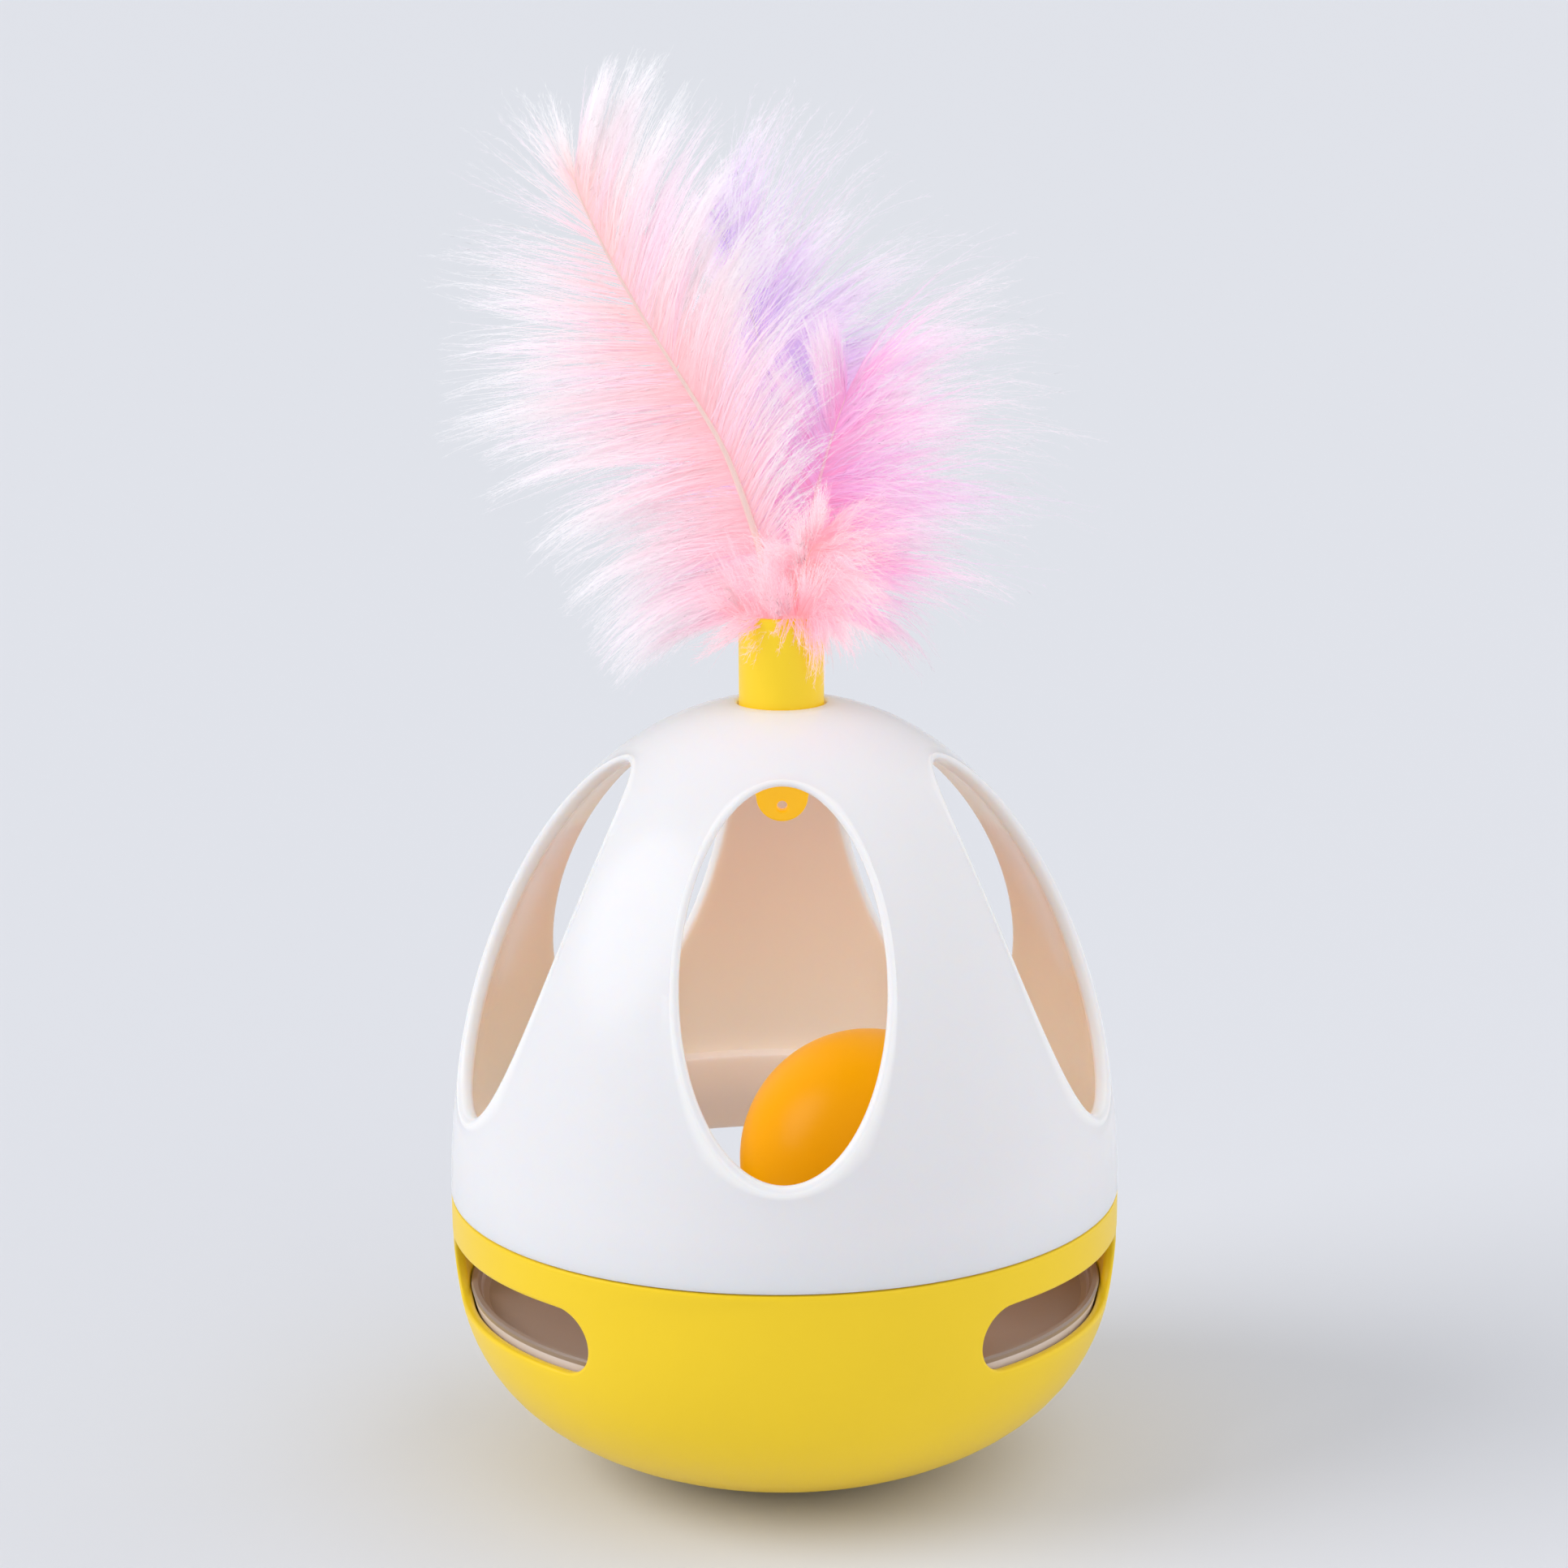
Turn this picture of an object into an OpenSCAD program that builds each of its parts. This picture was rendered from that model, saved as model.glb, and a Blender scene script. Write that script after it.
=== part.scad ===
// Tumbler cat toy: a weighted yellow base, a white dome with five oval windows
// that twists off it, a loose ball inside and a bunch of feathers on top.
// Millimetres, +Z up, origin on the ground under the centre of the base,
// the window that faces the viewer looks along -Y.

/* [Egg body] */
// Radius of the body at the seam between base and dome
seam_r = 52; // [50:0.5:54]
// Depth of the base below the seam, to the pole of its curve
base_depth = 44.4; // [43:0.2:46]
// Height of the dome above the seam, to the pole of its curve
dome_height = 77.6; // [76:0.2:80]
// Wall thickness of the base
base_wall = 1.6; // [1.4:0.1:1.8]
// Wall thickness of the dome
dome_wall = 2.2; // [2:0.1:2.4]
// Radius of the small flat that the base stands on
foot_r = 7; // [6:0.5:8]

/* [Windows of the dome] */
// Number of oval windows round the dome
window_count = 5; // [5:1:5]
// Width of each window, as a share of the seam's radius
window_w_share = 0.59; // [0.54:0.01:0.62]
// Height of each window, as a share of the dome's height
window_h_share = 0.69; // [0.65:0.01:0.7]
// Height of a window's centre above the seam, as a share of the dome's height
window_z_share = 0.549; // [0.54:0.001:0.555]

/* [Slots of the base] */
// Number of slots round the base
slot_count = 3; // [3:1:3]
// Length of each slot, as a share of the seam's radius
slot_w_share = 0.846; // [0.78:0.001:0.86]
// Height of each slot, as a share of the base's depth
slot_h_share = 0.234; // [0.21:0.001:0.24]
// Depth of a slot's centre below the seam, as a share of the base's depth
slot_z_share = 0.257; // [0.254:0.001:0.26]

/* [Twist lock] */
// Number of lugs and ribs round the seam
lug_count = 3; // [3:1:3]
// Turn that frees the dome from the base, in degrees
release_turn = 25; // [24:1:30]
// Width of a lug, in degrees
lug_turn = 10; // [8:0.5:11]

/* [Tray and weight] */
// Depth of the tray's floor below the seam, as a share of the base's depth
tray_share = 0.383; // [0.378:0.001:0.39]
// Wall thickness of the tray
tray_wall = 1.6; // [1.4:0.1:1.8]
// Radius of the iron weight
weight_r = 22.2; // [20:0.2:23]
// Height of the iron weight at its middle
weight_h = 9; // [8:0.2:9.4]
// Radius of the ball
ball_r = 20.2; // [19:0.1:20.6]
// Wall thickness of the hollow ball
ball_wall = 1; // [0.8:0.1:1.4]

/* [Feather holder] */
// Outer radius of the holder's tube
tube_r = 6.5; // [6.2:0.1:6.8]
// Height of the tube above the pole of the dome
tube_rise = 13.2; // [12:0.2:15]
// Wall thickness of the tube
tube_wall = 1; // [0.9:0.05:1.1]
// Distance from the pole of the dome down to the tip of the tab
tab_drop = 19.3; // [18.5:0.1:20]
// Thickness of the tab
tab_t = 2.2; // [2:0.1:2.6]
// Radius of the eye in the tab
eye_r = 0.8; // [0.7:0.05:1]

/* [Feathers] */
// Height of the bunch of feathers above the mouth of the tube
feather_rise = 83; // [70:1:90]
// Thickness of a feather's vane
feather_t = 0.9; // [0.8:0.1:1]

/* [Hidden] */
$fn = 96;

yellow = "#f5d23c";
white = "#f4f4f6";
orange = "#ffab0a";
steel = "#a9adb3";
pale_pink = "#ffd7dc";
lilac = "#dcc0ea";
bright_pink = "#ff9ed6";
coral = "#ffb4a8";

// The two curves of the egg: radius and height go as powers of cos and sin
base_power_r = 0.93;
base_power_z = 0.637;
dome_power_r = 0.934;
dome_power_z = 0.978;

eps = 0.01;
seam_gap = 0.1;          // half of the line between base and dome
edge = 0.3;              // small bevel on the moulded edges
fit = 0.3;               // room between pieces that slot into each other

// Heights of the main levels, from the seam
foot_z = -egg_z(foot_r, seam_r, base_depth, base_power_r, base_power_z);
seam_z = -foot_z;
floor_z = -tray_share * base_depth;
lip_h = 2.5;
lip_z = floor_z + lip_h;
tray_under_z = floor_z - tray_wall;
tray_boss_h = 2.2;
boss_z = tray_under_z - tray_boss_h;

// Windows and slots
window_w = window_w_share * seam_r;
window_h = window_h_share * dome_height;
window_z = window_z_share * dome_height;
slot_w = slot_w_share * seam_r;
slot_h = slot_h_share * base_depth;
slot_z = slot_z_share * base_depth;

// Inner curve of the base
bowl_r = seam_r - base_wall;
bowl_depth = base_depth - base_wall;

// Inner curve of the dome and the skirt that drops into the base
vault_r = seam_r - dome_wall;
vault_h = dome_height - dome_wall;
skirt_top = 6.5;
skirt_drop = 6;
skirt_r = bowl_r - 1.5;
skirt_wall = 1.5;

// Twist lock: ribs on the base hold the lugs of the skirt from above
lug_r = skirt_r + 1.2;
lug_h = 1.8;
lug_top = -3.4;
rib_r = skirt_r + fit;
rib_top = -1.5;
rib_h = 1.7;
release_room = 8;        // degrees past the rib at the end of the turn
rib_turn = 2 * (release_turn - release_room) - lug_turn;
stop_turn = 4;
lug_phase = 11;

// Screws of the tray and of the weight
screw_ring_r = 0.654 * seam_r;
boss_r = 3.6;
tray_screw_r = 1.45;
tray_screw_len = 9;
tray_head_r = 2.7;
tray_head_h = 1.9;
weight_screw_r = 1.9;
weight_head_r = 6;
weight_head_h = 2.4;
thread_room = 0.05;
weight_top = -bowl_depth + weight_h + 0.4;
weight_bore_r = 4.2;

// Feather holder
hole_r = tube_r + fit;
mouth_z = dome_height + tube_rise;
tube_floor_z = dome_height - 0.6;
flange_r = tube_r + 2;
flange_t = 1.5;
flange_z = egg_z(flange_r, vault_r, vault_h, dome_power_r, dome_power_z) - fit - flange_t;
tab_tip_z = dome_height - tab_drop;
tab_tip_r = 4;
tab_flare = 0.45;
plug_r = tube_r - tube_wall - 0.05;
plug_h = 12;

// Ball: it lies against nothing but the tray's floor
ball_x = 13.2;
ball_y = 2;
ball_gap = 0.1;

// Radius of an egg curve at height z, and height at radius x
function egg_r(z, r, h, pr, pz) = r * pow(cos(asin(pow(z / h, 1 / pz))), pr);
function egg_z(x, r, h, pr, pz) = h * pow(sin(acos(pow(x / r, 1 / pr))), pz);
// Point of an egg curve: turn 0 is at the seam, turn 90 at the pole
function egg_at(turn, r, h, pr, pz) = [r * pow(cos(turn), pr), h * pow(sin(turn), pz)];
function egg_turn(x, r, pr) = acos(pow(x / r, 1 / pr));
function bowl_r_at(depth) = egg_r(depth, bowl_r, bowl_depth, base_power_r, base_power_z);

function base_curve(r, h, start, stop, steps) = [
    for (i = [0 : steps])
        let (p = egg_at(start + (stop - start) * i / steps, r, h, base_power_r, base_power_z))
            [p[0], -p[1]]];
function dome_curve(r, h, start, stop, steps) = [
    for (i = [0 : steps])
        egg_at(start + (stop - start) * i / steps, r, h, dome_power_r, dome_power_z)];
function turned_back(list) = [for (i = [len(list) - 1 : -1 : 0]) list[i]];

// A slice of a ring, from its middle out, by height and by turn
module ring_slice(r_in, r_out, z, h, from, to) {
    translate([0, 0, z])
        rotate([0, 0, from - 90])
            rotate_extrude(angle = to - from)
                translate([r_in, 0])
                    square([r_out - r_in, h]);
}

module at_seam() {
    translate([0, 0, seam_z])
        children();
}

module around(count, phase = 0) {
    for (i = [0 : count - 1])
        rotate([0, 0, phase + 360 * i / count])
            children();
}

// Solid inside of the bowl, which trims the bosses and ribs to its curve
module bowl_core() {
    rotate_extrude()
        polygon(concat([[0, -seam_gap]],
                       base_curve(seam_r - base_wall / 2, base_depth - base_wall / 2, 1.2, 90, 18)));
}

module bowl_wall() {
    outer = base_curve(seam_r, base_depth, 1.2, egg_turn(foot_r, seam_r, base_power_r), 20);
    inner = base_curve(bowl_r, bowl_depth, 1.2, 90, 20);
    rotate_extrude()
        polygon(concat([[seam_r - edge, -seam_gap], [seam_r, -seam_gap - edge]],
                       outer, [[0, foot_z]], turned_back(inner),
                       [[bowl_r, -seam_gap - edge], [bowl_r + edge, -seam_gap]]));
}

// Ledge that carries the edge of the tray
module tray_ledge() {
    ledge_r = bowl_r_at(-tray_under_z) - 2;
    rotate_extrude()
        polygon([[ledge_r, tray_under_z - 0.1], [bowl_r, tray_under_z - 0.1],
                 [bowl_r, tray_under_z - 4], [ledge_r, tray_under_z - 1.6]]);
}

module screw_boss() {
    translate([0, -screw_ring_r, -base_depth])
        cylinder(r = boss_r, h = boss_z + base_depth);
    // Web from the boss to the wall
    translate([-0.7, -seam_r, -base_depth])
        cube([1.4, seam_r - screw_ring_r - 2, boss_z + base_depth - 2]);
}

// Collar round the weight and the post that its screw bites into
module weight_seat() {
    difference() {
        translate([0, 0, -base_depth])
            cylinder(r = weight_r + fit + 1.5, h = weight_top + base_depth - 2);
        translate([0, 0, -base_depth - eps])
            cylinder(r = weight_r + fit, h = base_depth);
    }
    translate([0, 0, -base_depth])
        cylinder(r = weight_bore_r - fit, h = weight_top + base_depth - 0.6);
}

// Rib over one lug, with the stop that ends the turn at its locked side
module lock_rib() {
    ring_slice(rib_r, seam_r, rib_top - rib_h, rib_h, -rib_turn / 2, rib_turn / 2);
    ring_slice(rib_r, seam_r, lug_top - lug_h, lug_h + 0.5,
               -lug_turn / 2 - 0.3 - stop_turn, -lug_turn / 2 - 0.3);
}

module slot_cut() {
    round_r = slot_h / 2;
    half = slot_w / 2 - round_r;
    translate([0, -seam_r / 2, -slot_z])
        rotate([90, 0, 0])
            linear_extrude(seam_r) {
                square([2 * half, slot_h], center = true);
                for (side = [-1, 1])
                    translate([side * half, 0])
                        circle(r = round_r);
            }
}

// Yellow bowl, moulded in one piece with its bosses, collar and lock ribs
module base_shell() {
    color(yellow)
        at_seam()
            difference() {
                union() {
                    bowl_wall();
                    intersection() {
                        bowl_core();
                        union() {
                            tray_ledge();
                            around(3) screw_boss();
                            weight_seat();
                            around(lug_count, lug_phase) lock_rib();
                        }
                    }
                }
                around(slot_count, 60) slot_cut();
                around(3)
                    translate([0, -screw_ring_r, boss_z - tray_screw_len])
                        cylinder(r = tray_screw_r + thread_room, h = tray_screw_len + 1);
                translate([0, 0, foot_z + base_wall + 0.8])
                    cylinder(r = weight_screw_r + thread_room, h = base_depth);
            }
}

// Iron disc whose underside follows the bowl
module counterweight() {
    room = 0.4;
    rim = egg_turn(weight_r, bowl_r - room, base_power_r);
    bore = egg_turn(weight_bore_r, bowl_r - room, base_power_r);
    color(steel)
        at_seam()
            rotate_extrude()
                polygon(concat([[weight_bore_r, weight_top], [weight_r - 1, weight_top],
                                [weight_r, weight_top - 1]],
                               base_curve(bowl_r - room, bowl_depth - room, rim, bore, 8)));
}

module pan_head(r, h) {
    rotate_extrude()
        polygon([[0, 0], [r, 0], [r, h * 0.45], [r * 0.8, h * 0.85], [r * 0.5, h], [0, h]]);
}

module cross_recess(size, depth) {
    for (turn = [0, 90])
        rotate([0, 0, turn])
            cube([size, size * 0.24, 2 * depth], center = true);
}

// Screw with its head's underside at z = 0
module screw(shank_r, length, head_r, head_h) {
    color(steel)
        difference() {
            union() {
                translate([0, 0, -length])
                    cylinder(r1 = shank_r * 0.55, r2 = shank_r, h = 1.5);
                translate([0, 0, 1.5 - length])
                    cylinder(r = shank_r, h = length - 1.5 + eps);
                pan_head(head_r, head_h);
            }
            translate([0, 0, head_h])
                cross_recess(head_r * 1.1, head_h * 0.55);
        }
}

module weight_screw() {
    at_seam()
        translate([0, 0, weight_top + 0.02])
            screw(weight_screw_r, 7.4, weight_head_r, weight_head_h);
}

module tray_screw(i) {
    at_seam()
        rotate([0, 0, 120 * i])
            translate([0, -screw_ring_r, tray_under_z - 0.78])
                screw(tray_screw_r, tray_screw_len, tray_head_r, tray_head_h);
}

// White dish that the ball rolls in, screwed down over the weight
module tray() {
    lip_r = bowl_r_at(-lip_z) - fit;
    foot_out = bowl_r_at(-tray_under_z) - fit;
    ring_r = weight_r + 3;
    color(white)
        at_seam()
            difference() {
                union() {
                    rotate_extrude()
                        polygon([[0, tray_under_z], [foot_out, tray_under_z],
                                 [lip_r, lip_z - edge], [lip_r - edge, lip_z],
                                 [lip_r - 1, lip_z], [lip_r - 1.3, lip_z - edge],
                                 [lip_r - 1.9, floor_z + 0.6], [lip_r - 2.8, floor_z],
                                 [0, floor_z]]);
                    // Stiffening ring under the floor
                    rotate_extrude()
                        translate([ring_r, tray_under_z - 3])
                            square([1.2, 3 + eps]);
                    around(3)
                        translate([0, -screw_ring_r, boss_z + 0.05])
                            cylinder(r = 4.2, h = tray_under_z - boss_z);
                }
                around(3)
                    translate([0, -screw_ring_r, 0]) {
                        translate([0, 0, tray_under_z - 0.8])
                            cylinder(r = tray_head_r + 0.5, h = 6);
                        translate([0, 0, boss_z - 1])
                            cylinder(r = tray_screw_r + 0.25, h = 6);
                    }
            }
}

module ball() {
    color(orange)
        at_seam()
            translate([ball_x, ball_y, floor_z + ball_gap + ball_r])
                difference() {
                    sphere(r = ball_r);
                    sphere(r = ball_r - ball_wall);
                }
}

module window_cut() {
    steps = 40;
    translate([0, -8, window_z])
        rotate([90, 0, 0])
            linear_extrude(seam_r)
                polygon([for (i = [0 : steps - 1])
                    [window_w / 2 * cos(360 * i / steps), window_h / 2 * sin(360 * i / steps)]]);
}

// Dome and skirt as one revolved outline
module dome_wall_solid() {
    outer_end = egg_turn(hole_r + 0.6, seam_r, dome_power_r);
    inner_end = egg_turn(hole_r, vault_r, dome_power_r);
    vault_start = asin(pow((skirt_top + 0.5) / vault_h, 1 / dome_power_z));
    outer = dome_curve(seam_r, dome_height, 1.5, outer_end, 20);
    inner = dome_curve(vault_r, vault_h, vault_start, inner_end, 20);
    skirt_in = skirt_r - skirt_wall;
    rotate_extrude()
        polygon(concat([[skirt_r, seam_gap], [seam_r - edge, seam_gap],
                        [seam_r, seam_gap + edge]],
                       outer,
                       [[hole_r, outer[len(outer) - 1][1] - 0.4]],
                       turned_back(inner),
                       [[skirt_in + 0.5, skirt_top], [skirt_in, skirt_top - 0.5],
                        [skirt_in, -skirt_drop + edge], [skirt_in + edge, -skirt_drop],
                        [skirt_r - edge, -skirt_drop], [skirt_r, -skirt_drop + edge]]));
}

// White dome: five windows, the skirt inside the seam and its lugs
module dome_shell() {
    color(white)
        at_seam()
            difference() {
                union() {
                    dome_wall_solid();
                    around(lug_count, lug_phase)
                        ring_slice(skirt_r - 0.5, lug_r, lug_top - lug_h, lug_h,
                                   -lug_turn / 2, lug_turn / 2);
                }
                around(window_count) window_cut();
                // Pockets that the mould leaves at the ends of each lug
                around(lug_count, lug_phase)
                    for (side = [-1, 1])
                        rotate([0, 0, side * (lug_turn / 2 - 1)])
                            translate([-1.3, -skirt_r + 0.7, skirt_top - 1.4])
                                cube([2.6, 3, 3]);
            }
}

// Yellow tube through the pole of the dome, with a flange and a tab below it
module feather_holder() {
    tip_centre_z = tab_tip_z + tab_tip_r;
    shoulder_z = tip_centre_z + (tube_r - tab_tip_r) / tab_flare;
    color(yellow)
        at_seam()
            difference() {
                union() {
                    rotate_extrude()
                        polygon([[0, flange_z - 1.6], [tube_r - edge, flange_z - 1.6],
                                 [tube_r, flange_z - 1.6 + edge], [tube_r, flange_z],
                                 [flange_r, flange_z], [flange_r, flange_z + flange_t],
                                 [tube_r, flange_z + flange_t], [tube_r, mouth_z - edge],
                                 [tube_r - edge, mouth_z], [tube_r - tube_wall, mouth_z],
                                 [tube_r - tube_wall, tube_floor_z], [0, tube_floor_z]]);
                    translate([0, tab_t / 2, 0])
                        rotate([90, 0, 0])
                            linear_extrude(tab_t) {
                                polygon([[-tube_r, flange_z], [-tube_r, shoulder_z],
                                         [-tab_tip_r, tip_centre_z], [tab_tip_r, tip_centre_z],
                                         [tube_r, shoulder_z], [tube_r, flange_z]]);
                                translate([0, tip_centre_z])
                                    circle(r = tab_tip_r);
                            }
                }
                translate([0, tab_t, tab_tip_z + 2.4])
                    rotate([90, 0, 0])
                        cylinder(r = eye_r, h = 2 * tab_t);
            }
}

// Feathers. A route is the line of a quill from the mouth of the tube, in round
// numbers for a bunch 83 high; the barbs' reach goes up and down along the quill.
stations = 40;
bunch = feather_rise / 83;
quill_seat = 11;
main_seat = plug_r * [-0.26, -0.44];
lilac_seat = plug_r * [-0.3, 0.44];
pink_seat = plug_r * [0.44, 0.26];
coral_seat = plug_r * [0.48, -0.48];
main_quill_r = 1;
thin_quill_r = 0.8;
main_route = [[-2, -2.6, 5], [-4, -2.8, 13], [-8, -3, 24.5], [-14, -3.4, 35],
              [-19.5, -3.8, 44], [-25, -4, 54], [-29, -4, 62.5], [-30, -4, 66]];
lilac_route = [[-1.6, 3, 5], [-1.5, 4.5, 14], [-1, 6, 25], [-2, 7, 36],
               [-5, 7.5, 47], [-9, 8, 58]];
pink_route = [[3, 1.6, 5], [3.9, 1.8, 11], [5.4, 2, 18], [7.6, 2, 26], [10, 2, 33]];
coral_route = [[3, -3.2, 3], [3.6, -4.4, 6], [4.4, -5.2, 9], [5.4, -5.6, 12]];

// Point on a smooth curve through the route's points, u from 0 to 1
function blend4(a, b, c, d, t) =
    0.5 * (2 * b + (c - a) * t + (2 * a - 5 * b + 4 * c - d) * t * t
           + (3 * b - a - 3 * c + d) * t * t * t);
function along(route, u) =
    let (n = len(route) - 1, s = min(u * n, n - 0.0001), i = floor(s))
        blend4(route[max(i - 1, 0)], route[i], route[i + 1], route[min(i + 2, n)], s - i);
function heading(route, u) =
    let (d = along(route, min(u + 0.02, 1)) - along(route, max(u - 0.02, 0)))
        atan2(d[2], d[0]);
// Every second barb tip is notched, by a share of its reach that wanders
function ragged(i, seed, notch) = i % 2 == 0 ? 1 : 1 - notch + 0.1 * sin(seed + i * 77);
// A value that runs through its stops along the quill
function ramp(stops, u) = along([for (s = stops) [s, 0, 0]], u)[0];

// Left edge, face, right edge and back of the vane at each station
function vane_ring(route, u, i, reach, lean, curl, notch, seed) =
    let (p = along(route, u),
         a = heading(route, u),
         left = max(ramp(reach[0], u) * ragged(i, seed, notch), 1.2),
         right = max(ramp(reach[1], u) * ragged(i + 1, seed + 40, notch), 1.2),
         la = a + ramp(lean[0], u),
         ra = a - ramp(lean[1], u))
        [bunch * (p + [left * cos(la), curl * pow(left / 30, 2), left * sin(la)]),
         bunch * p + [0, -feather_t / 2, 0],
         bunch * (p + [right * cos(ra), curl * pow(right / 30, 2), right * sin(ra)]),
         bunch * p + [0, feather_t / 2, 0]];

module vane(route, reach, lean, curl, notch, seed, count) {
    points = [for (i = [0 : count])
                  for (q = vane_ring(route, i / count, i, reach, lean, curl, notch, seed)) q];
    sides = [for (i = [0 : count - 1])
                 for (k = [0 : 3])
                     for (f = [[4 * i + k, 4 * i + 4 + k, 4 * i + (k + 1) % 4],
                               [4 * i + (k + 1) % 4, 4 * i + 4 + k, 4 * i + 4 + (k + 1) % 4]]) f];
    last = 4 * count;
    ends = [[0, 1, 2], [0, 2, 3], [last, last + 2, last + 1], [last, last + 3, last + 2]];
    polyhedron(points = points, faces = concat(sides, ends), convexity = 8);
}

// Quill as a tapered tube of eight sides, from its seat in the plug to the tip
module quill(route, seat, r) {
    line = concat([[seat[0], seat[1], -quill_seat], [seat[0], seat[1], -1]],
                  [for (i = [0 : 12]) bunch * along(route, i / 12)]);
    n = len(line) - 1;
    points = [for (i = [0 : n])
                  let (thin = r * (1 - 0.75 * i / n))
                      for (k = [0 : 7]) line[i] + thin * [cos(45 * k), sin(45 * k), 0]];
    sides = [for (i = [0 : n - 1])
                 for (k = [0 : 7])
                     for (f = [[8 * i + k, 8 * i + 8 + k, 8 * i + (k + 1) % 8],
                               [8 * i + (k + 1) % 8, 8 * i + 8 + k, 8 * i + 8 + (k + 1) % 8]]) f];
    caps = [[for (k = [0 : 7]) k], [for (k = [7 : -1 : 0]) 8 * n + k]];
    polyhedron(points = points, faces = concat(sides, caps), convexity = 8);
}

module feather(route, seat, r, reach, lean, curl, notch, seed, count = stations) {
    at_seam()
        translate([0, 0, mouth_z]) {
            quill(route, seat, r);
            vane(route, reach, lean, curl, notch, seed, count);
        }
}

// Pale pink feather in front, with the quill that shows
module feather_main() {
    color(pale_pink)
        feather(main_route, main_seat, main_quill_r,
                [[26, 29, 32, 32, 30, 22, 17, 14], [10, 15, 24, 30, 31, 28, 20, 15]],
                [[106, 97, 80, 66, 58, 44, 28, 20], [86, 70, 60, 55, 49, 42, 34, 22]],
                -3, 0.26, 10);
}

// Lilac feather behind it, long in the barbs to the right
module feather_lilac() {
    color(lilac)
        feather(lilac_route, lilac_seat, thin_quill_r,
                [[8, 22, 24, 20, 16, 12], [8, 26, 34, 36, 26, 14]],
                [[88, 80, 66, 50, 36, 24], [84, 76, 66, 54, 40, 26]], 3, 0.32, 120);
}

// Bright pink feather on the right, with long wisps that arch far out
module feather_pink() {
    color(bright_pink)
        feather(pink_route, pink_seat, thin_quill_r,
                [[6, 12, 14, 13, 12, 10], [10, 30, 37, 38, 36, 24]],
                [[84, 70, 60, 48, 36, 24], [88, 84, 78, 70, 58, 40]], 0.5, 0.36, 200, 28);
}

// Short coral down feather at the mouth of the tube
module feather_coral() {
    color(coral)
        feather(coral_route, coral_seat, thin_quill_r,
                [[4, 9, 9, 8], [4, 9, 10, 8]],
                [[86, 70, 50, 30], [86, 70, 50, 30]], -1, 0.26, 300, 12);
}

// Soft plug that grips the quills inside the tube
module quill_plug() {
    color(white)
        at_seam()
            translate([0, 0, tube_floor_z + 0.1])
                difference() {
                    cylinder(r = plug_r, h = plug_h);
                    for (seat = [[main_seat, main_quill_r], [lilac_seat, thin_quill_r],
                                 [pink_seat, thin_quill_r], [coral_seat, thin_quill_r]])
                        translate([seat[0][0], seat[0][1], 1])
                            cylinder(r = seat[1] + 0.05, h = plug_h);
                }
}

base_shell();
counterweight();
weight_screw();
tray();
tray_screw(0);  // tray_screw_1
tray_screw(1);  // tray_screw_2
tray_screw(2);  // tray_screw_3
ball();
dome_shell();
feather_holder();
quill_plug();
feather_main();
feather_lilac();
feather_pink();
feather_coral();
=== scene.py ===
import math

import bmesh
import bpy
import numpy as np
from mathutils import Matrix, Vector


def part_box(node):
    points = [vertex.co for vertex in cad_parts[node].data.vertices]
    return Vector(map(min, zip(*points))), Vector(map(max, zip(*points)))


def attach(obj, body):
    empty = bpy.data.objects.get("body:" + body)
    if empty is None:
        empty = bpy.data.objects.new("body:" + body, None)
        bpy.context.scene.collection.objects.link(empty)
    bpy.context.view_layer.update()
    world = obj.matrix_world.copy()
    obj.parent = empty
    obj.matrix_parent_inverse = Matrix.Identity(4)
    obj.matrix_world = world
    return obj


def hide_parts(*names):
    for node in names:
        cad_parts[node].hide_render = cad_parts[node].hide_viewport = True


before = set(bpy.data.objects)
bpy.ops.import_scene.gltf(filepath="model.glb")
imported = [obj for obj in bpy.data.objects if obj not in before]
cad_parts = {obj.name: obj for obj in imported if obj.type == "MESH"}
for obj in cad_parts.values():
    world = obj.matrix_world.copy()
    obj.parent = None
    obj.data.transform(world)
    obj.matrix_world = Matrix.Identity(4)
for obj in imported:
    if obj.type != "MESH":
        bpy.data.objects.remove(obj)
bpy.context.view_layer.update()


# Yellow base shell
# One injection-moulded bowl in satin yellow plastic, egg-shaped outside, with three slots
# for treats round its side. The dome's skirt drops into its rim and locks under three ribs.

MM = 0.001
seam_gap = 0.1 * MM
seam_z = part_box("base_shell")[1].z + seam_gap
body_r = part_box("base_shell")[1].x
base_depth = seam_z + 0.19 * MM
base_wall = 1.6 * MM
base_belly = 0.93
base_bottom = 0.637
foot_r = 7 * MM
slot_half_w = 22 * MM
slot_half_h = 5.2 * MM
slot_drop = 11.4 * MM
slot_count = 3
side_depth = 26 * MM


def base_curve(depth, inward=0.0):
    """Radius and height of the bowl at a depth below the seam, some way inside its skin."""
    share = min(depth / (base_depth - inward), 1.0)
    turn = math.asin(share ** (1 / base_bottom))
    return (body_r - inward) * math.cos(turn) ** base_belly, seam_z - depth


def start_loop(name, places):
    """Begin a piece as one loop of points, each on its own place, and stay in edit mode."""
    bpy.ops.object.select_all(action="DESELECT")
    bpy.ops.mesh.primitive_circle_add(vertices=len(places), radius=body_r)
    piece = bpy.context.object
    piece.name = piece.data.name = name
    bpy.ops.object.mode_set(mode="EDIT")
    edit = bmesh.from_edit_mesh(piece.data)
    for vertex, place in zip(edit.verts, places):
        vertex.co = place
    bmesh.update_edit_mesh(piece.data)
    return piece


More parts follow.
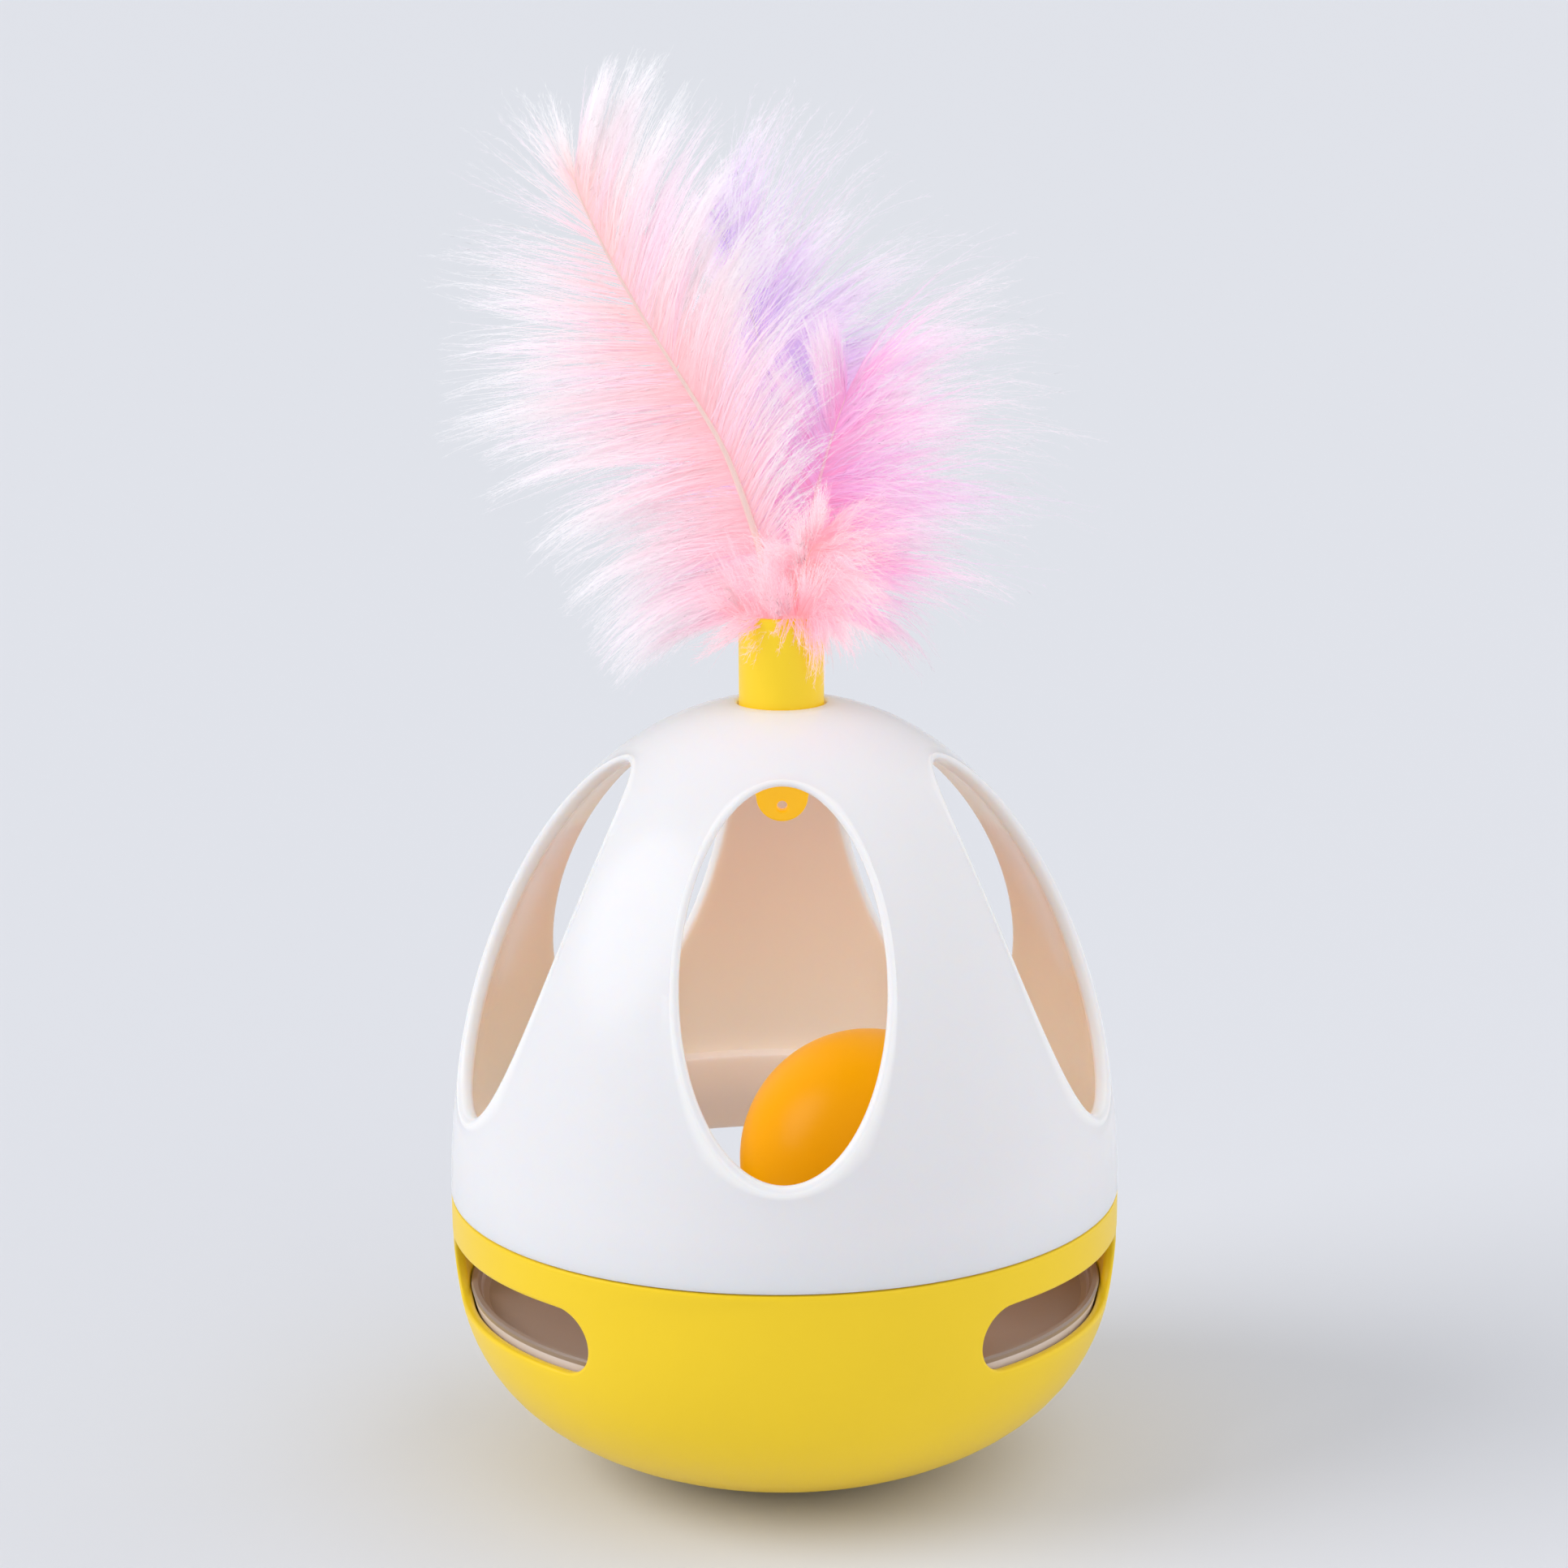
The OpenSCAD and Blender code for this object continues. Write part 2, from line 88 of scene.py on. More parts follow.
def pull_loop(piece, places):
    """Extrude the selected loop and set the new points on their places."""
    bpy.ops.mesh.extrude_region_move()
    edit = bmesh.from_edit_mesh(piece.data)
    edit.verts.ensure_lookup_table()
    for vertex, place in zip(edit.verts[len(edit.verts) - len(places):], places):
        vertex.co = place
    bmesh.update_edit_mesh(piece.data)


def pull_ring(piece, radius, height):
    """Extrude the selected ring and bring it to a radius and a height."""
    bpy.ops.mesh.extrude_region_move()
    edit = bmesh.from_edit_mesh(piece.data)
    for vertex in edit.verts:
        if vertex.select:
            scale = radius / math.hypot(vertex.co.x, vertex.co.y)
            vertex.co = (vertex.co.x * scale, vertex.co.y * scale, height)
    bmesh.update_edit_mesh(piece.data)


def pick_rim(piece, belongs):
    """Select the open edges whose ends both belong."""
    bpy.ops.mesh.select_all(action="DESELECT")
    edit = bmesh.from_edit_mesh(piece.data)
    for edge in edit.edges:
        if edge.is_boundary and all(belongs(vertex.co) for vertex in edge.verts):
            edge.select_set(True)
    bmesh.update_edit_mesh(piece.data)


def stadium(half_w, half_h, height, sides, longs):
    """Points round a slot with round ends, from its lower right corner up and round."""
    straight = half_w - half_h
    corner = math.pi / 4 * half_h
    run = 2 * corner + 2 * straight
    half = []
    for step in range(sides):
        turn = math.radians(-45 + 90 * step / sides)
        half.append((straight + half_h * math.cos(turn), half_h * math.sin(turn)))
    for step in range(longs):
        gone = run * step / longs
        if gone < corner:
            turn = math.pi / 4 + gone / half_h
            half.append((straight + half_h * math.cos(turn), half_h * math.sin(turn)))
        elif gone < corner + 2 * straight:
            half.append((straight - (gone - corner), half_h))
        else:
            turn = math.pi / 2 + (gone - corner - 2 * straight) / half_h
            half.append((-straight + half_h * math.cos(turn), half_h * math.sin(turn)))
    both = half + [(-across, -up) for across, up in half]
    return [(across, height + up) for across, up in both]


def sector_border(half, low, high, sides, top, bottom):
    """Points round a sector's border as (turn from its middle, level), in the same order."""
    border = [(half, low + (high - low) * i / sides) for i in range(sides)]
    border += [(half - 2 * half * i / top, high) for i in range(top)]
    border += [(-half, high + (low - high) * i / sides) for i in range(sides)]
    border += [(-half + 2 * half * i / bottom, low) for i in range(bottom)]
    return border


def turn_selected(angle):
    """Turn what is selected about the toy's axis."""
    bpy.ops.transform.rotate(value=angle, orient_axis="Z", center_override=(0, 0, 0))


def pierced_wall(name, curve, level_of, opening, border, shares, copies):
    """A thin wall round its openings: loops run from one opening out to its sector's border,
    and the sector is copied round the axis."""
    def place(turn, level):
        radius, height = curve(level)
        return Vector((radius * math.sin(turn), -radius * math.cos(turn), height))

    first = []
    for across, height in opening:
        level = level_of(height)
        first.append((math.asin(across / curve(level)[0]), level))
    wall = start_loop(name, [place(*point) for point in first])
    for share in shares:
        pull_loop(wall, [place(a[0] + (b[0] - a[0]) * share, a[1] + (b[1] - a[1]) * share)
                         for a, b in zip(first, border)])
    bpy.ops.mesh.select_all(action="SELECT")
    for _ in range(copies - 1):
        bpy.ops.mesh.duplicate_move()
        turn_selected(2 * math.pi / copies)
    bpy.ops.mesh.select_all(action="SELECT")
    bpy.ops.mesh.remove_doubles(threshold=0.001 * MM)
    return wall


def join_pieces(whole, *others):
    """Make several meshes one object."""
    bpy.ops.object.select_all(action="DESELECT")
    for other in others:
        other.select_set(True)
    whole.select_set(True)
    bpy.context.view_layer.objects.active = whole
    bpy.ops.object.join()
    bpy.ops.object.mode_set(mode="EDIT")


def bridge_openings(piece, count, phase, low, high):
    """Close the wall's thickness round each opening between its outer and inner edge."""
    for number in range(count):
        middle = phase + 2 * math.pi * number / count

        def in_opening(place):
            turn = math.atan2(place.x, -place.y) - middle
            turn = (turn + math.pi) % (2 * math.pi) - math.pi
            return abs(turn) < math.pi / count and low < place.z < high

        pick_rim(piece, in_opening)
        bpy.ops.mesh.bridge_edge_loops()


def round_marked(piece, mark, width, segments, raised=0.0):
    """Round over the edges that carry a mark, raise them as a lip, and take the mark off."""
    bpy.ops.mesh.select_all(action="SELECT")
    bpy.ops.mesh.normals_make_consistent(inside=False)
    bpy.ops.mesh.select_all(action="DESELECT")
    edit = bmesh.from_edit_mesh(piece.data)
    for edge in edit.edges:
        if (edge.seam if mark == "seam" else not edge.smooth):
            edge.select_set(True)
    bmesh.update_edit_mesh(piece.data)
    bpy.ops.mesh.bevel(offset=width, segments=segments, affect="EDGES", clamp_overlap=False)
    if raised:
        bpy.ops.transform.shrink_fatten(value=raised)
    bpy.ops.mesh.select_all(action="SELECT")
    if mark == "seam":
        bpy.ops.mesh.mark_seam(clear=True)
    else:
        bpy.ops.mesh.mark_sharp(clear=True)


def finish_mesh(piece, angle=40):
    """Turn all faces outwards, leave edit mode and shade the curves smooth."""
    bpy.ops.mesh.select_all(action="SELECT")
    bpy.ops.mesh.normals_make_consistent(inside=False)
    bpy.ops.object.mode_set(mode="OBJECT")
    bpy.ops.object.select_all(action="DESELECT")
    piece.select_set(True)
    bpy.context.view_layer.objects.active = piece
    bpy.ops.object.shade_smooth_by_angle(angle=math.radians(angle))


def turned(name, profile, points=48):
    """A ring with a closed section, pulled round by round through its profile."""
    first = profile[0]
    places = [(first[0] * math.cos(2 * math.pi * i / points),
               first[0] * math.sin(2 * math.pi * i / points), first[1]) for i in range(points)]
    ring = start_loop(name, places)
    for radius, height in profile[1:] + profile[:1]:
        pull_ring(ring, radius, height)
    bpy.ops.mesh.select_all(action="SELECT")
    bpy.ops.mesh.remove_doubles(threshold=0.001 * MM)
    bpy.ops.mesh.normals_make_consistent(inside=False)
    bpy.ops.object.mode_set(mode="OBJECT")
    return ring


def bowl_side(name, inward, top):
    """The bowl's outer or inner skin with its slots, from its top down to the middle."""
    opening = stadium(slot_half_w, slot_half_h, seam_z - slot_drop, 12, 44)
    border = sector_border(math.pi / slot_count, side_depth, top, 12, 44, 44)
    skin = pierced_wall(name, lambda depth: base_curve(depth, inward),
                        lambda height: seam_z - height, opening, border,
                        (0.16, 0.3, 0.45, 0.6, 0.8, 1.0), slot_count)
    bpy.ops.mesh.select_all(action="SELECT")
    turn_selected(math.pi / slot_count)
    pick_rim(skin, lambda place: place.z < under_slots)
    full = base_depth - inward
    steps = 14
    start = math.asin((side_depth / full) ** (1 / base_bottom))
    end = math.acos((foot_r / (body_r - inward)) ** (1 / base_belly))
    for step in range(1, steps + 1):
        turn = start + (end - start) * step / steps
        pull_ring(skin, (body_r - inward) * math.cos(turn) ** base_belly,
                  seam_z - full * math.sin(turn) ** base_bottom)
    bpy.ops.mesh.edge_face_add()
    return skin


under_slots = seam_z - 25 * MM
over_slots = seam_z - 3 * MM
outer = bowl_side("base_shell_skin", 0.0, 0.8 * MM)
pick_rim(outer, lambda place: place.z < over_slots)
bpy.ops.mesh.mark_seam(clear=False)
pick_rim(outer, lambda place: place.z > over_slots)
for inward, down in ((0, 0.4), (0.09, 0.19), (0.3, 0.1), (1.3, 0.1), (1.51, 0.19), (1.6, 0.4)):
    pull_ring(outer, body_r - inward * MM, seam_z - down * MM)
bpy.ops.object.mode_set(mode="OBJECT")

inner = bowl_side("base_shell_inside", base_wall, 2.5 * MM)
pick_rim(inner, lambda place: place.z < over_slots)
bpy.ops.mesh.mark_sharp()
bpy.ops.object.mode_set(mode="OBJECT")

join_pieces(outer, inner)
pick_rim(outer, lambda place: place.z > over_slots)
bpy.ops.mesh.bridge_edge_loops()
bridge_openings(outer, slot_count, math.pi / slot_count, under_slots, over_slots)
round_marked(outer, "seam", 0.7 * MM, 4)
round_marked(outer, "sharp", 0.5 * MM, 3)
finish_mesh(outer)
outer.name = outer.data.name = "yellow_base"

# The parts of the bowl that the tray hides: its screw bosses, the collar and post of the
# weight, and the ledge under the tray, moulded in one with it.
tray_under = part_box("tray")[0].z
weight_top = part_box("counterweight")[1].z
collar_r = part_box("counterweight")[1].x + 0.3 * MM
collar_top = weight_top - 2 * MM
post_top = weight_top - 0.7 * MM
screw_ring_r = -(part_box("tray_screw_1")[0].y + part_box("tray_screw_1")[1].y) / 2
boss_foot = 8 * MM
boss_top = tray_under - 0.1 * MM
ledge_r = 47 * MM
ledge_z = tray_under + 2.1 * MM


def bowl_height(radius):
    """Height of the bowl's inner face at a radius."""
    turn = math.acos((radius / (body_r - base_wall)) ** (1 / base_belly))
    return seam_z - (base_depth - base_wall) * math.sin(turn) ** base_bottom


hidden = [
    turned("tray_ledge", [(ledge_r, ledge_z), (49.2 * MM, ledge_z),
                          (48.4 * MM, ledge_z - 2.4 * MM), (ledge_r, ledge_z - 1.5 * MM)], 96),
    turned("weight_collar", [(collar_r, 4.4 * MM), (collar_r, collar_top),
                             (collar_r + 1.5 * MM, collar_top), (collar_r + 1.5 * MM, 5 * MM)], 96),
    turned("weight_post", [(2 * MM, 2.4 * MM), (2 * MM, post_top), (3.9 * MM, post_top),
                           (3.9 * MM, 1.4 * MM)]),
]
for number in range(3):
    boss = turned("screw_boss", [(1.5 * MM, boss_foot), (1.5 * MM, boss_top),
                                 (3.6 * MM, boss_top), (3.6 * MM, boss_foot)], 32)
    turn = 2 * math.pi * number / 3
    for vertex in boss.data.vertices:
        vertex.co.x += screw_ring_r * math.sin(turn)
        vertex.co.y -= screw_ring_r * math.cos(turn)
        if vertex.co.z < (boss_foot + boss_top) / 2:
            radius = math.hypot(vertex.co.x, vertex.co.y)
            vertex.co.z = bowl_height(radius) - 0.6 * MM
    hidden.append(boss)
join_pieces(outer, *hidden)
bpy.ops.object.mode_set(mode="OBJECT")
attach(outer, "base")
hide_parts("base_shell")


def feed(node, inputs):
    """Set a node's inputs to values, or link them to other nodes' outputs."""
    for socket, value in inputs.items():
        if isinstance(value, bpy.types.NodeSocket):
            node.id_data.links.new(value, node.inputs[socket])
        else:
            node.inputs[socket].default_value = value


def add_node(tree, kind, inputs=None, **settings):
    """A new shader node with its settings, and its inputs set or linked."""
    node = tree.nodes.new("ShaderNode" + kind)
    for name, value in settings.items():
        setattr(node, name, value)
    feed(node, inputs or {})
    return node


def calculate(tree, operation, *values):
    """What one step of arithmetic gives."""
    return add_node(tree, "Math", dict(enumerate(values)), operation=operation).outputs[0]


def mix(tree, factor, first, second):
    """The first colour, with the second in its place by a factor."""
    return add_node(tree, "Mix", {"Factor": factor, "A": first, "B": second},
                    data_type="RGBA").outputs["Result"]


def moulded_surface():
    """Node group for the skin of moulded plastic: fine spark grain from the mould, a slow
    unevenness of the gloss and a faint scuff, all on Object coordinates."""
    group = bpy.data.node_groups.new("moulded_surface", "ShaderNodeTree")
    sockets = {"INPUT": ("Color", "Gloss", "Unevenness", "Grain Size", "Mottle"),
               "OUTPUT": ("Color", "Roughness", "Height")}
    for way, names in sockets.items():
        for name in names:
            kind = "NodeSocketColor" if name == "Color" else "NodeSocketFloat"
            group.interface.new_socket(name, in_out=way, socket_type=kind)
    given = group.nodes.new("NodeGroupInput")
    where = add_node(group, "TexCoord").outputs["Object"]

    def noise(scale, detail):
        texture = add_node(group, "TexNoise", {"Vector": where, "Scale": scale, "Detail": detail})
        return texture.outputs["Fac"]

    slow = calculate(group, "SUBTRACT", noise(45.0, 4.0), 0.5)
    rough = calculate(group, "MULTIPLY_ADD", slow, given.outputs["Unevenness"],
                      given.outputs["Gloss"])
    value = calculate(group, "MULTIPLY_ADD", slow, given.outputs["Mottle"], 1.0)
    shade = add_node(group, "HueSaturation", {"Color": given.outputs["Color"], "Value": value})
    scuff = noise(320.0, 5.0)
    grain = noise(given.outputs["Grain Size"], 2.0)
    height = calculate(group, "MULTIPLY_ADD", scuff, 0.35, grain)
    feed(group.nodes.new("NodeGroupOutput"),
         {"Color": shade.outputs["Color"], "Roughness": rough, "Height": height})
    return group


plastic_skin = moulded_surface()


def new_material(name):
    """A material, its tree of nodes and its shader."""
    material = bpy.data.materials.new(name)
    material.use_nodes = True
    return material, material.node_tree, material.node_tree.nodes["Principled BSDF"]


def plastic(name, color, gloss, unevenness, grain, mottle, bump):
    """A moulded plastic whose colour, gloss and grain come through the shared skin group. It
    comes back with its tree of nodes, its shader and its skin."""
    material, tree, shader = new_material(name)
    skin = tree.nodes.new("ShaderNodeGroup")
    skin.node_tree = plastic_skin
    feed(skin, {"Color": color, "Gloss": gloss, "Unevenness": unevenness, "Grain Size": grain,
                "Mottle": mottle})
    relief = add_node(tree, "Bump", {"Strength": 1.0, "Distance": bump,
                                     "Height": skin.outputs["Height"]})
    feed(shader, {"Base Color": skin.outputs["Color"], "Roughness": skin.outputs["Roughness"],
                  "Normal": relief.outputs["Normal"]})
    return material, tree, shader, skin


def dress(piece, material):
    """Give a piece, or a CAD node, one material all over."""
    piece.data.materials.clear()
    piece.data.materials.append(material)


# The base answers light on its way to the floor with a paler yellow than the camera sees, so
# that the floor under it keeps its grey.
yellow_plastic, tree, satin, skin = plastic(
    "yellow_satin_plastic", (1.0, 0.69, 0.012, 1), gloss=0.37, unevenness=0.12, grain=1400.0,
    mottle=0.06, bump=0.006 * MM)
bounced = add_node(tree, "LightPath").outputs["Is Diffuse Ray"]
feed(satin, {"IOR": 1.42,
             "Base Color": mix(tree, bounced, skin.outputs["Color"], (0.92, 0.69, 0.25, 1))})
dress(outer, yellow_plastic)


# Counterweight
# A cast iron disc with a rough grey skin, machined flat on top, which keeps the toy upright.
# It sits in the bowl's collar under the tray, and one zinc-plated screw holds it down.

def ramp(tree, value, *stops):
    """The colour that a value has among stops of (position, colour)."""
    node = add_node(tree, "ValToRGB", {"Fac": value})
    marks = node.color_ramp.elements
    for mark, (position, color) in zip(marks, (stops[0], stops[-1])):
        mark.position = position
        mark.color = color
    for position, color in stops[1:-1]:
        marks.new(position).color = color
    return node.outputs["Color"]


def map_range(tree, value, low, high, at_low=0.0, at_high=1.0):
    """A value brought from the range low to high to the range at_low to at_high."""
    return add_node(tree, "MapRange", {"Value": value, "From Min": low, "From Max": high,
                                       "To Min": at_low, "To Max": at_high}).outputs["Result"]


def darker(color, share):
    """A share of a colour's light."""
    return tuple(share * part for part in color[:3]) + (1,)


def metal(name, color, roughness, scale, bump):
    """A metal with a fine broken surface."""
    material, tree, shader = new_material(name)
    where = add_node(tree, "TexCoord").outputs["Object"]
    cloud = add_node(tree, "TexNoise", {"Vector": where, "Scale": scale, "Detail": 6.0})
    broken = cloud.outputs["Fac"]
    relief = add_node(tree, "Bump", {"Distance": bump, "Height": broken})
    feed(shader, {
        "Metallic": 1.0,
        "Base Color": ramp(tree, broken, (0.3, darker(color, 0.75)), (0.7, color)),
        "Roughness": map_range(tree, broken, 0.0, 1.0, roughness - 0.1, roughness + 0.1),
        "Normal": relief.outputs["Normal"]})
    return material


dress(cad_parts["counterweight"],
      metal("cast_iron", (0.16, 0.16, 0.17, 1), roughness=0.6, scale=260.0, bump=0.12 * MM))
zinc = metal("zinc_plate", (0.62, 0.64, 0.68, 1), roughness=0.3, scale=900.0, bump=0.01 * MM)
for node in ("weight_screw", "tray_screw_1", "tray_screw_2", "tray_screw_3"):
    dress(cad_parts[node], zinc)


# Tray
# A white dish with a low lip, moulded in glossy plastic, on which the ball rolls.
# Three sunk screws hold it to the bowl. Its lip shows as a pale line in the slots, and its
# floor and the top of its lip as a dull brown above that line: painted shade, for the shadow they
# lie in inside the base. The dish's white is also greyed and warmed a little as painted shade and
# warm light.

# Painted shade: the brown stands for the shadow on the dish's floor and lip top, and the white is
# toned down for the same shade.
dish_white = (0.8, 0.72, 0.72, 1)
shade_brown = (0.34, 0.25, 0.2, 1)
tray_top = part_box("tray")[1].z
white_dish, tree, _, skin = plastic("white_dish_plastic", dish_white, gloss=0.3,
                                    unevenness=0.15, grain=900.0, mottle=0.05, bump=0.004 * MM)
place = add_node(tree, "TexCoord").outputs["Object"]
flat = add_node(tree, "VectorMath", {0: place, 1: (1.0, 1.0, 0.0)}, operation="MULTIPLY")
reach = add_node(tree, "VectorMath", {0: flat.outputs["Vector"]}, operation="LENGTH")
decimetres = calculate(tree, "MULTIPLY", reach.outputs["Value"], 10.0)
# The floor inside the lip and the lip's top take the painted shade brown.
shaded_floor = ramp(tree, decimetres, (0.475, shade_brown), (0.478, dish_white))
height = add_node(tree, "SeparateXYZ", {"Vector": place}).outputs["Z"]
lip_top = map_range(tree, height, tray_top - 1.1 * MM, tray_top - 0.95 * MM)
feed(skin, {"Color": mix(tree, lip_top, shaded_floor, shade_brown)})
dress(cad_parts["tray"], white_dish)


# Ball
# A hollow orange ball of two welded halves in satin plastic, 40 mm across, loose on the tray.
# The weld shows as a hair-thin line round it.

ball_low, ball_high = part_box("ball")
ball_centre = (ball_low + ball_high) / 2
ball_r = (ball_high.z - ball_low.z) / 2
bpy.ops.object.select_all(action="DESELECT")
bpy.ops.mesh.primitive_cube_add(size=1.0)
ball = bpy.context.object
ball.name = ball.data.name = "orange_ball"
bpy.ops.object.mode_set(mode="EDIT")
bpy.ops.mesh.select_all(action="SELECT")
bpy.ops.mesh.subdivide(number_cuts=39)
edit = bmesh.from_edit_mesh(ball.data)
weld_axis = Vector((0.35, 0.2, 0.91)).normalized()
weld_half = 0.35 * MM
weld_depth = 0.06 * MM
for vertex in edit.verts:
    out = Vector(math.tan(part * math.pi / 2) for part in vertex.co).normalized()
    lift = out.dot(weld_axis) * ball_r
    sunk = weld_depth * max(0.0, 1 - abs(lift) / weld_half)
    vertex.co = ball_centre + out * (ball_r - sunk)
bmesh.update_edit_mesh(ball.data)
finish_mesh(ball, 60)
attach(ball, "base")
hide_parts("ball")
orange_plastic, tree, bright, skin = plastic(
    "orange_satin_plastic", (1.0, 0.445, 0.0, 1), gloss=0.34, unevenness=0.1, grain=1100.0,
    mottle=0.05, bump=0.006 * MM)
# Painted light: the ball glows a little in its own colour, for the light that reaches it through
# the dome.
feed(bright, {"Specular IOR Level": 0.12, "Emission Color": skin.outputs["Color"],
              "Emission Strength": 0.13})
dress(ball, orange_plastic)


# White dome shell
# A thin white glossy shell with five oval windows, each with a rounded and slightly raised
# edge. It is moulded in one piece with the skirt that drops into the base and the three lugs
# that lock it there.

dome_height = 77.6 * MM
dome_wall = 2.2 * MM
dome_belly = 0.934
dome_point = 0.978
window_half_w = 15.35 * MM
window_half_h = 26.75 * MM
window_rise = 42.6 * MM
window_count = 5
hole_r = 6.8 * MM
crown_turn = math.radians(76.5)


def dome_curve(turn, inward=0.0):
    """Radius and height on the dome, some way inside its skin: 0 at the seam, 90 at the pole."""
    return ((body_r - inward) * math.cos(turn) ** dome_belly,
            seam_z + (dome_height - inward) * math.sin(turn) ** dome_point)


def dome_turn(height, inward=0.0):
    """Where on the curve a height is reached."""
    return math.asin(((height - seam_z) / (dome_height - inward)) ** (1 / dome_point))


def oval(half_w, half_h, height, sides, top, bottom):
    """Points round a window, from its lower right corner up and round."""
    low, high = 50, 60
    turns = [-low + (low + high) * i / sides for i in range(sides)]
    turns += [high + (180 - 2 * high) * i / top for i in range(top)]
    turns += [180 - high + (low + high) * i / sides for i in range(sides)]
    turns += [180 + low + (180 - 2 * low) * i / bottom for i in range(bottom)]
    return [(half_w * math.cos(math.radians(turn)), height + half_h * math.sin(math.radians(turn)))
            for turn in turns]


def dome_side(name, inward, start_height):
    """The dome's outer or inner skin round its windows, up to the hole in the crown."""
    opening = oval(window_half_w, window_half_h, seam_z + window_rise, 52, 16, 32)
    border = sector_border(math.pi / window_count, dome_turn(start_height, inward), crown_turn,
                           52, 16, 32)
    skin = pierced_wall(name, lambda turn: dome_curve(turn, inward),
                        lambda height: dome_turn(height, inward), opening, border,
                        (0.11, 0.22, 0.36, 0.52, 0.68, 0.84, 1.0), window_count)
    pick_rim(skin, lambda place: place.z > over_windows)
    return skin


def draw_in(skin, hole, inward=0.0):
    """Bring the top ring in to a hole's radius, and say how high it then stands."""
    hole_turn = math.acos((hole / (body_r - inward)) ** (1 / dome_belly))
    for step in range(1, 5):
        radius, height = dome_curve(crown_turn + (hole_turn - crown_turn) * step / 4, inward)
        pull_ring(skin, radius, height)
    return height


under_windows = seam_z + 11 * MM
over_windows = seam_z + 72 * MM
outer = dome_side("dome_skin", 0.0, seam_z + 0.8 * MM)
crown_z = draw_in(outer, hole_r + 0.5 * MM)
for inward, down in ((0.2, 0.04), (0.4, 0.2), (0.5, 0.5)):
    pull_ring(outer, hole_r + (0.5 - inward) * MM, crown_z - down * MM)
pick_rim(outer, lambda place: under_windows < place.z < over_windows)
bpy.ops.mesh.mark_seam(clear=False)
pick_rim(outer, lambda place: place.z < under_windows)

# From the seam's edge in to the skirt, down it and up its inside to the dome's wall.
skirt_r = body_r - base_wall - 1.5 * MM
skirt_in = skirt_r - 1.5 * MM
lug_low = seam_z - 5.2 * MM
lug_high = seam_z - 3.4 * MM
for radius, height in ((body_r, seam_z + 0.4 * MM), (body_r - 0.09 * MM, seam_z + 0.19 * MM),
                       (body_r - 0.3 * MM, seam_z + 0.1 * MM), (skirt_r, seam_z + 0.1 * MM),
                       (skirt_r, lug_high), (skirt_r, lug_low),
                       (skirt_r, seam_z - 5.7 * MM), (skirt_r - 0.3 * MM, seam_z - 6 * MM),
                       (skirt_in + 0.3 * MM, seam_z - 6 * MM), (skirt_in, seam_z - 5.7 * MM),
                       (skirt_in, seam_z + 6 * MM), (skirt_in + 0.15 * MM, seam_z + 6.35 * MM),
                       (skirt_in + 0.5 * MM, seam_z + 6.5 * MM),
                       (dome_curve(dome_turn(seam_z + 7 * MM, dome_wall), dome_wall)[0],
                        seam_z + 6.9 * MM)):
    pull_ring(outer, radius, height)
bpy.ops.object.mode_set(mode="OBJECT")

inner = dome_side("dome_inside", dome_wall, seam_z + 9 * MM)
draw_in(inner, hole_r, dome_wall)
pick_rim(inner, lambda place: under_windows < place.z < over_windows)
bpy.ops.mesh.mark_sharp()
bpy.ops.object.mode_set(mode="OBJECT")

join_pieces(outer, inner)
pick_rim(outer, lambda place: place.z < under_windows)
bpy.ops.mesh.bridge_edge_loops()
pick_rim(outer, lambda place: place.z > over_windows)
bpy.ops.mesh.bridge_edge_loops()
bridge_openings(outer, window_count, 0.0, under_windows, over_windows)
round_marked(outer, "seam", 1.1 * MM, 6, raised=0.22 * MM)
round_marked(outer, "sharp", 0.5 * MM, 3)

# The three lugs are drawn out of the skirt's wall.
lug_turn = math.radians(10)
for number in range(3):
    middle = math.radians(11 + 120 * number)
    bpy.ops.mesh.select_all(action="DESELECT")
    edit = bmesh.from_edit_mesh(outer.data)
    for face in edit.faces:
        centre = face.calc_center_median()
        turn = (math.atan2(centre.x, -centre.y) - middle + math.pi) % (2 * math.pi) - math.pi
        on_skirt = math.hypot(centre.x, centre.y) > skirt_r - 0.3 * MM
        if lug_low < centre.z < lug_high and on_skirt and abs(turn) < lug_turn / 2:
            face.select_set(True)
    bmesh.update_edit_mesh(outer.data)
    bpy.ops.mesh.extrude_region_shrink_fatten(
        TRANSFORM_OT_shrink_fatten={"value": 1.2 * MM})
finish_mesh(outer)
outer.name = outer.data.name = "white_dome"

# Two marks for the material. Inside is 1 on the inner face, painted warm for the light that comes
# through the thin wall and off the ball and the base. Rim is 1 on the windows' rounded edges,
# between the faces of the wall or raised above the outer one, where a brighter white is painted on
# as a highlight.
inside = outer.data.attributes.new("inside", "FLOAT", "POINT")
rim = outer.data.attributes.new("rim", "FLOAT", "POINT")
for vertex in outer.data.vertices:
    x, y, z = vertex.co
    if z > seam_z + 6.8 * MM:
        turn = dome_turn(min(z, seam_z + 0.999 * dome_height))
        slope = max(math.cos(turn), 0.2)
        depth = (dome_curve(turn)[0] - math.hypot(x, y)) * slope / dome_wall
    else:
        depth = 2.0 if math.hypot(x, y) < skirt_r - 0.2 * MM else 0.0
    inside.data[vertex.index].value = min(max((depth - 0.75) / 0.25, 0.0), 1.0)
    rim.data[vertex.index].value = 1.0 if 0.08 < depth < 0.85 or depth < -0.05 else 0.0
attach(outer, "dome")
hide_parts("dome_shell")


def read(tree, title):
    """The value of an attribute of the mesh."""
    return add_node(tree, "Attribute", attribute_name=title).outputs["Fac"]
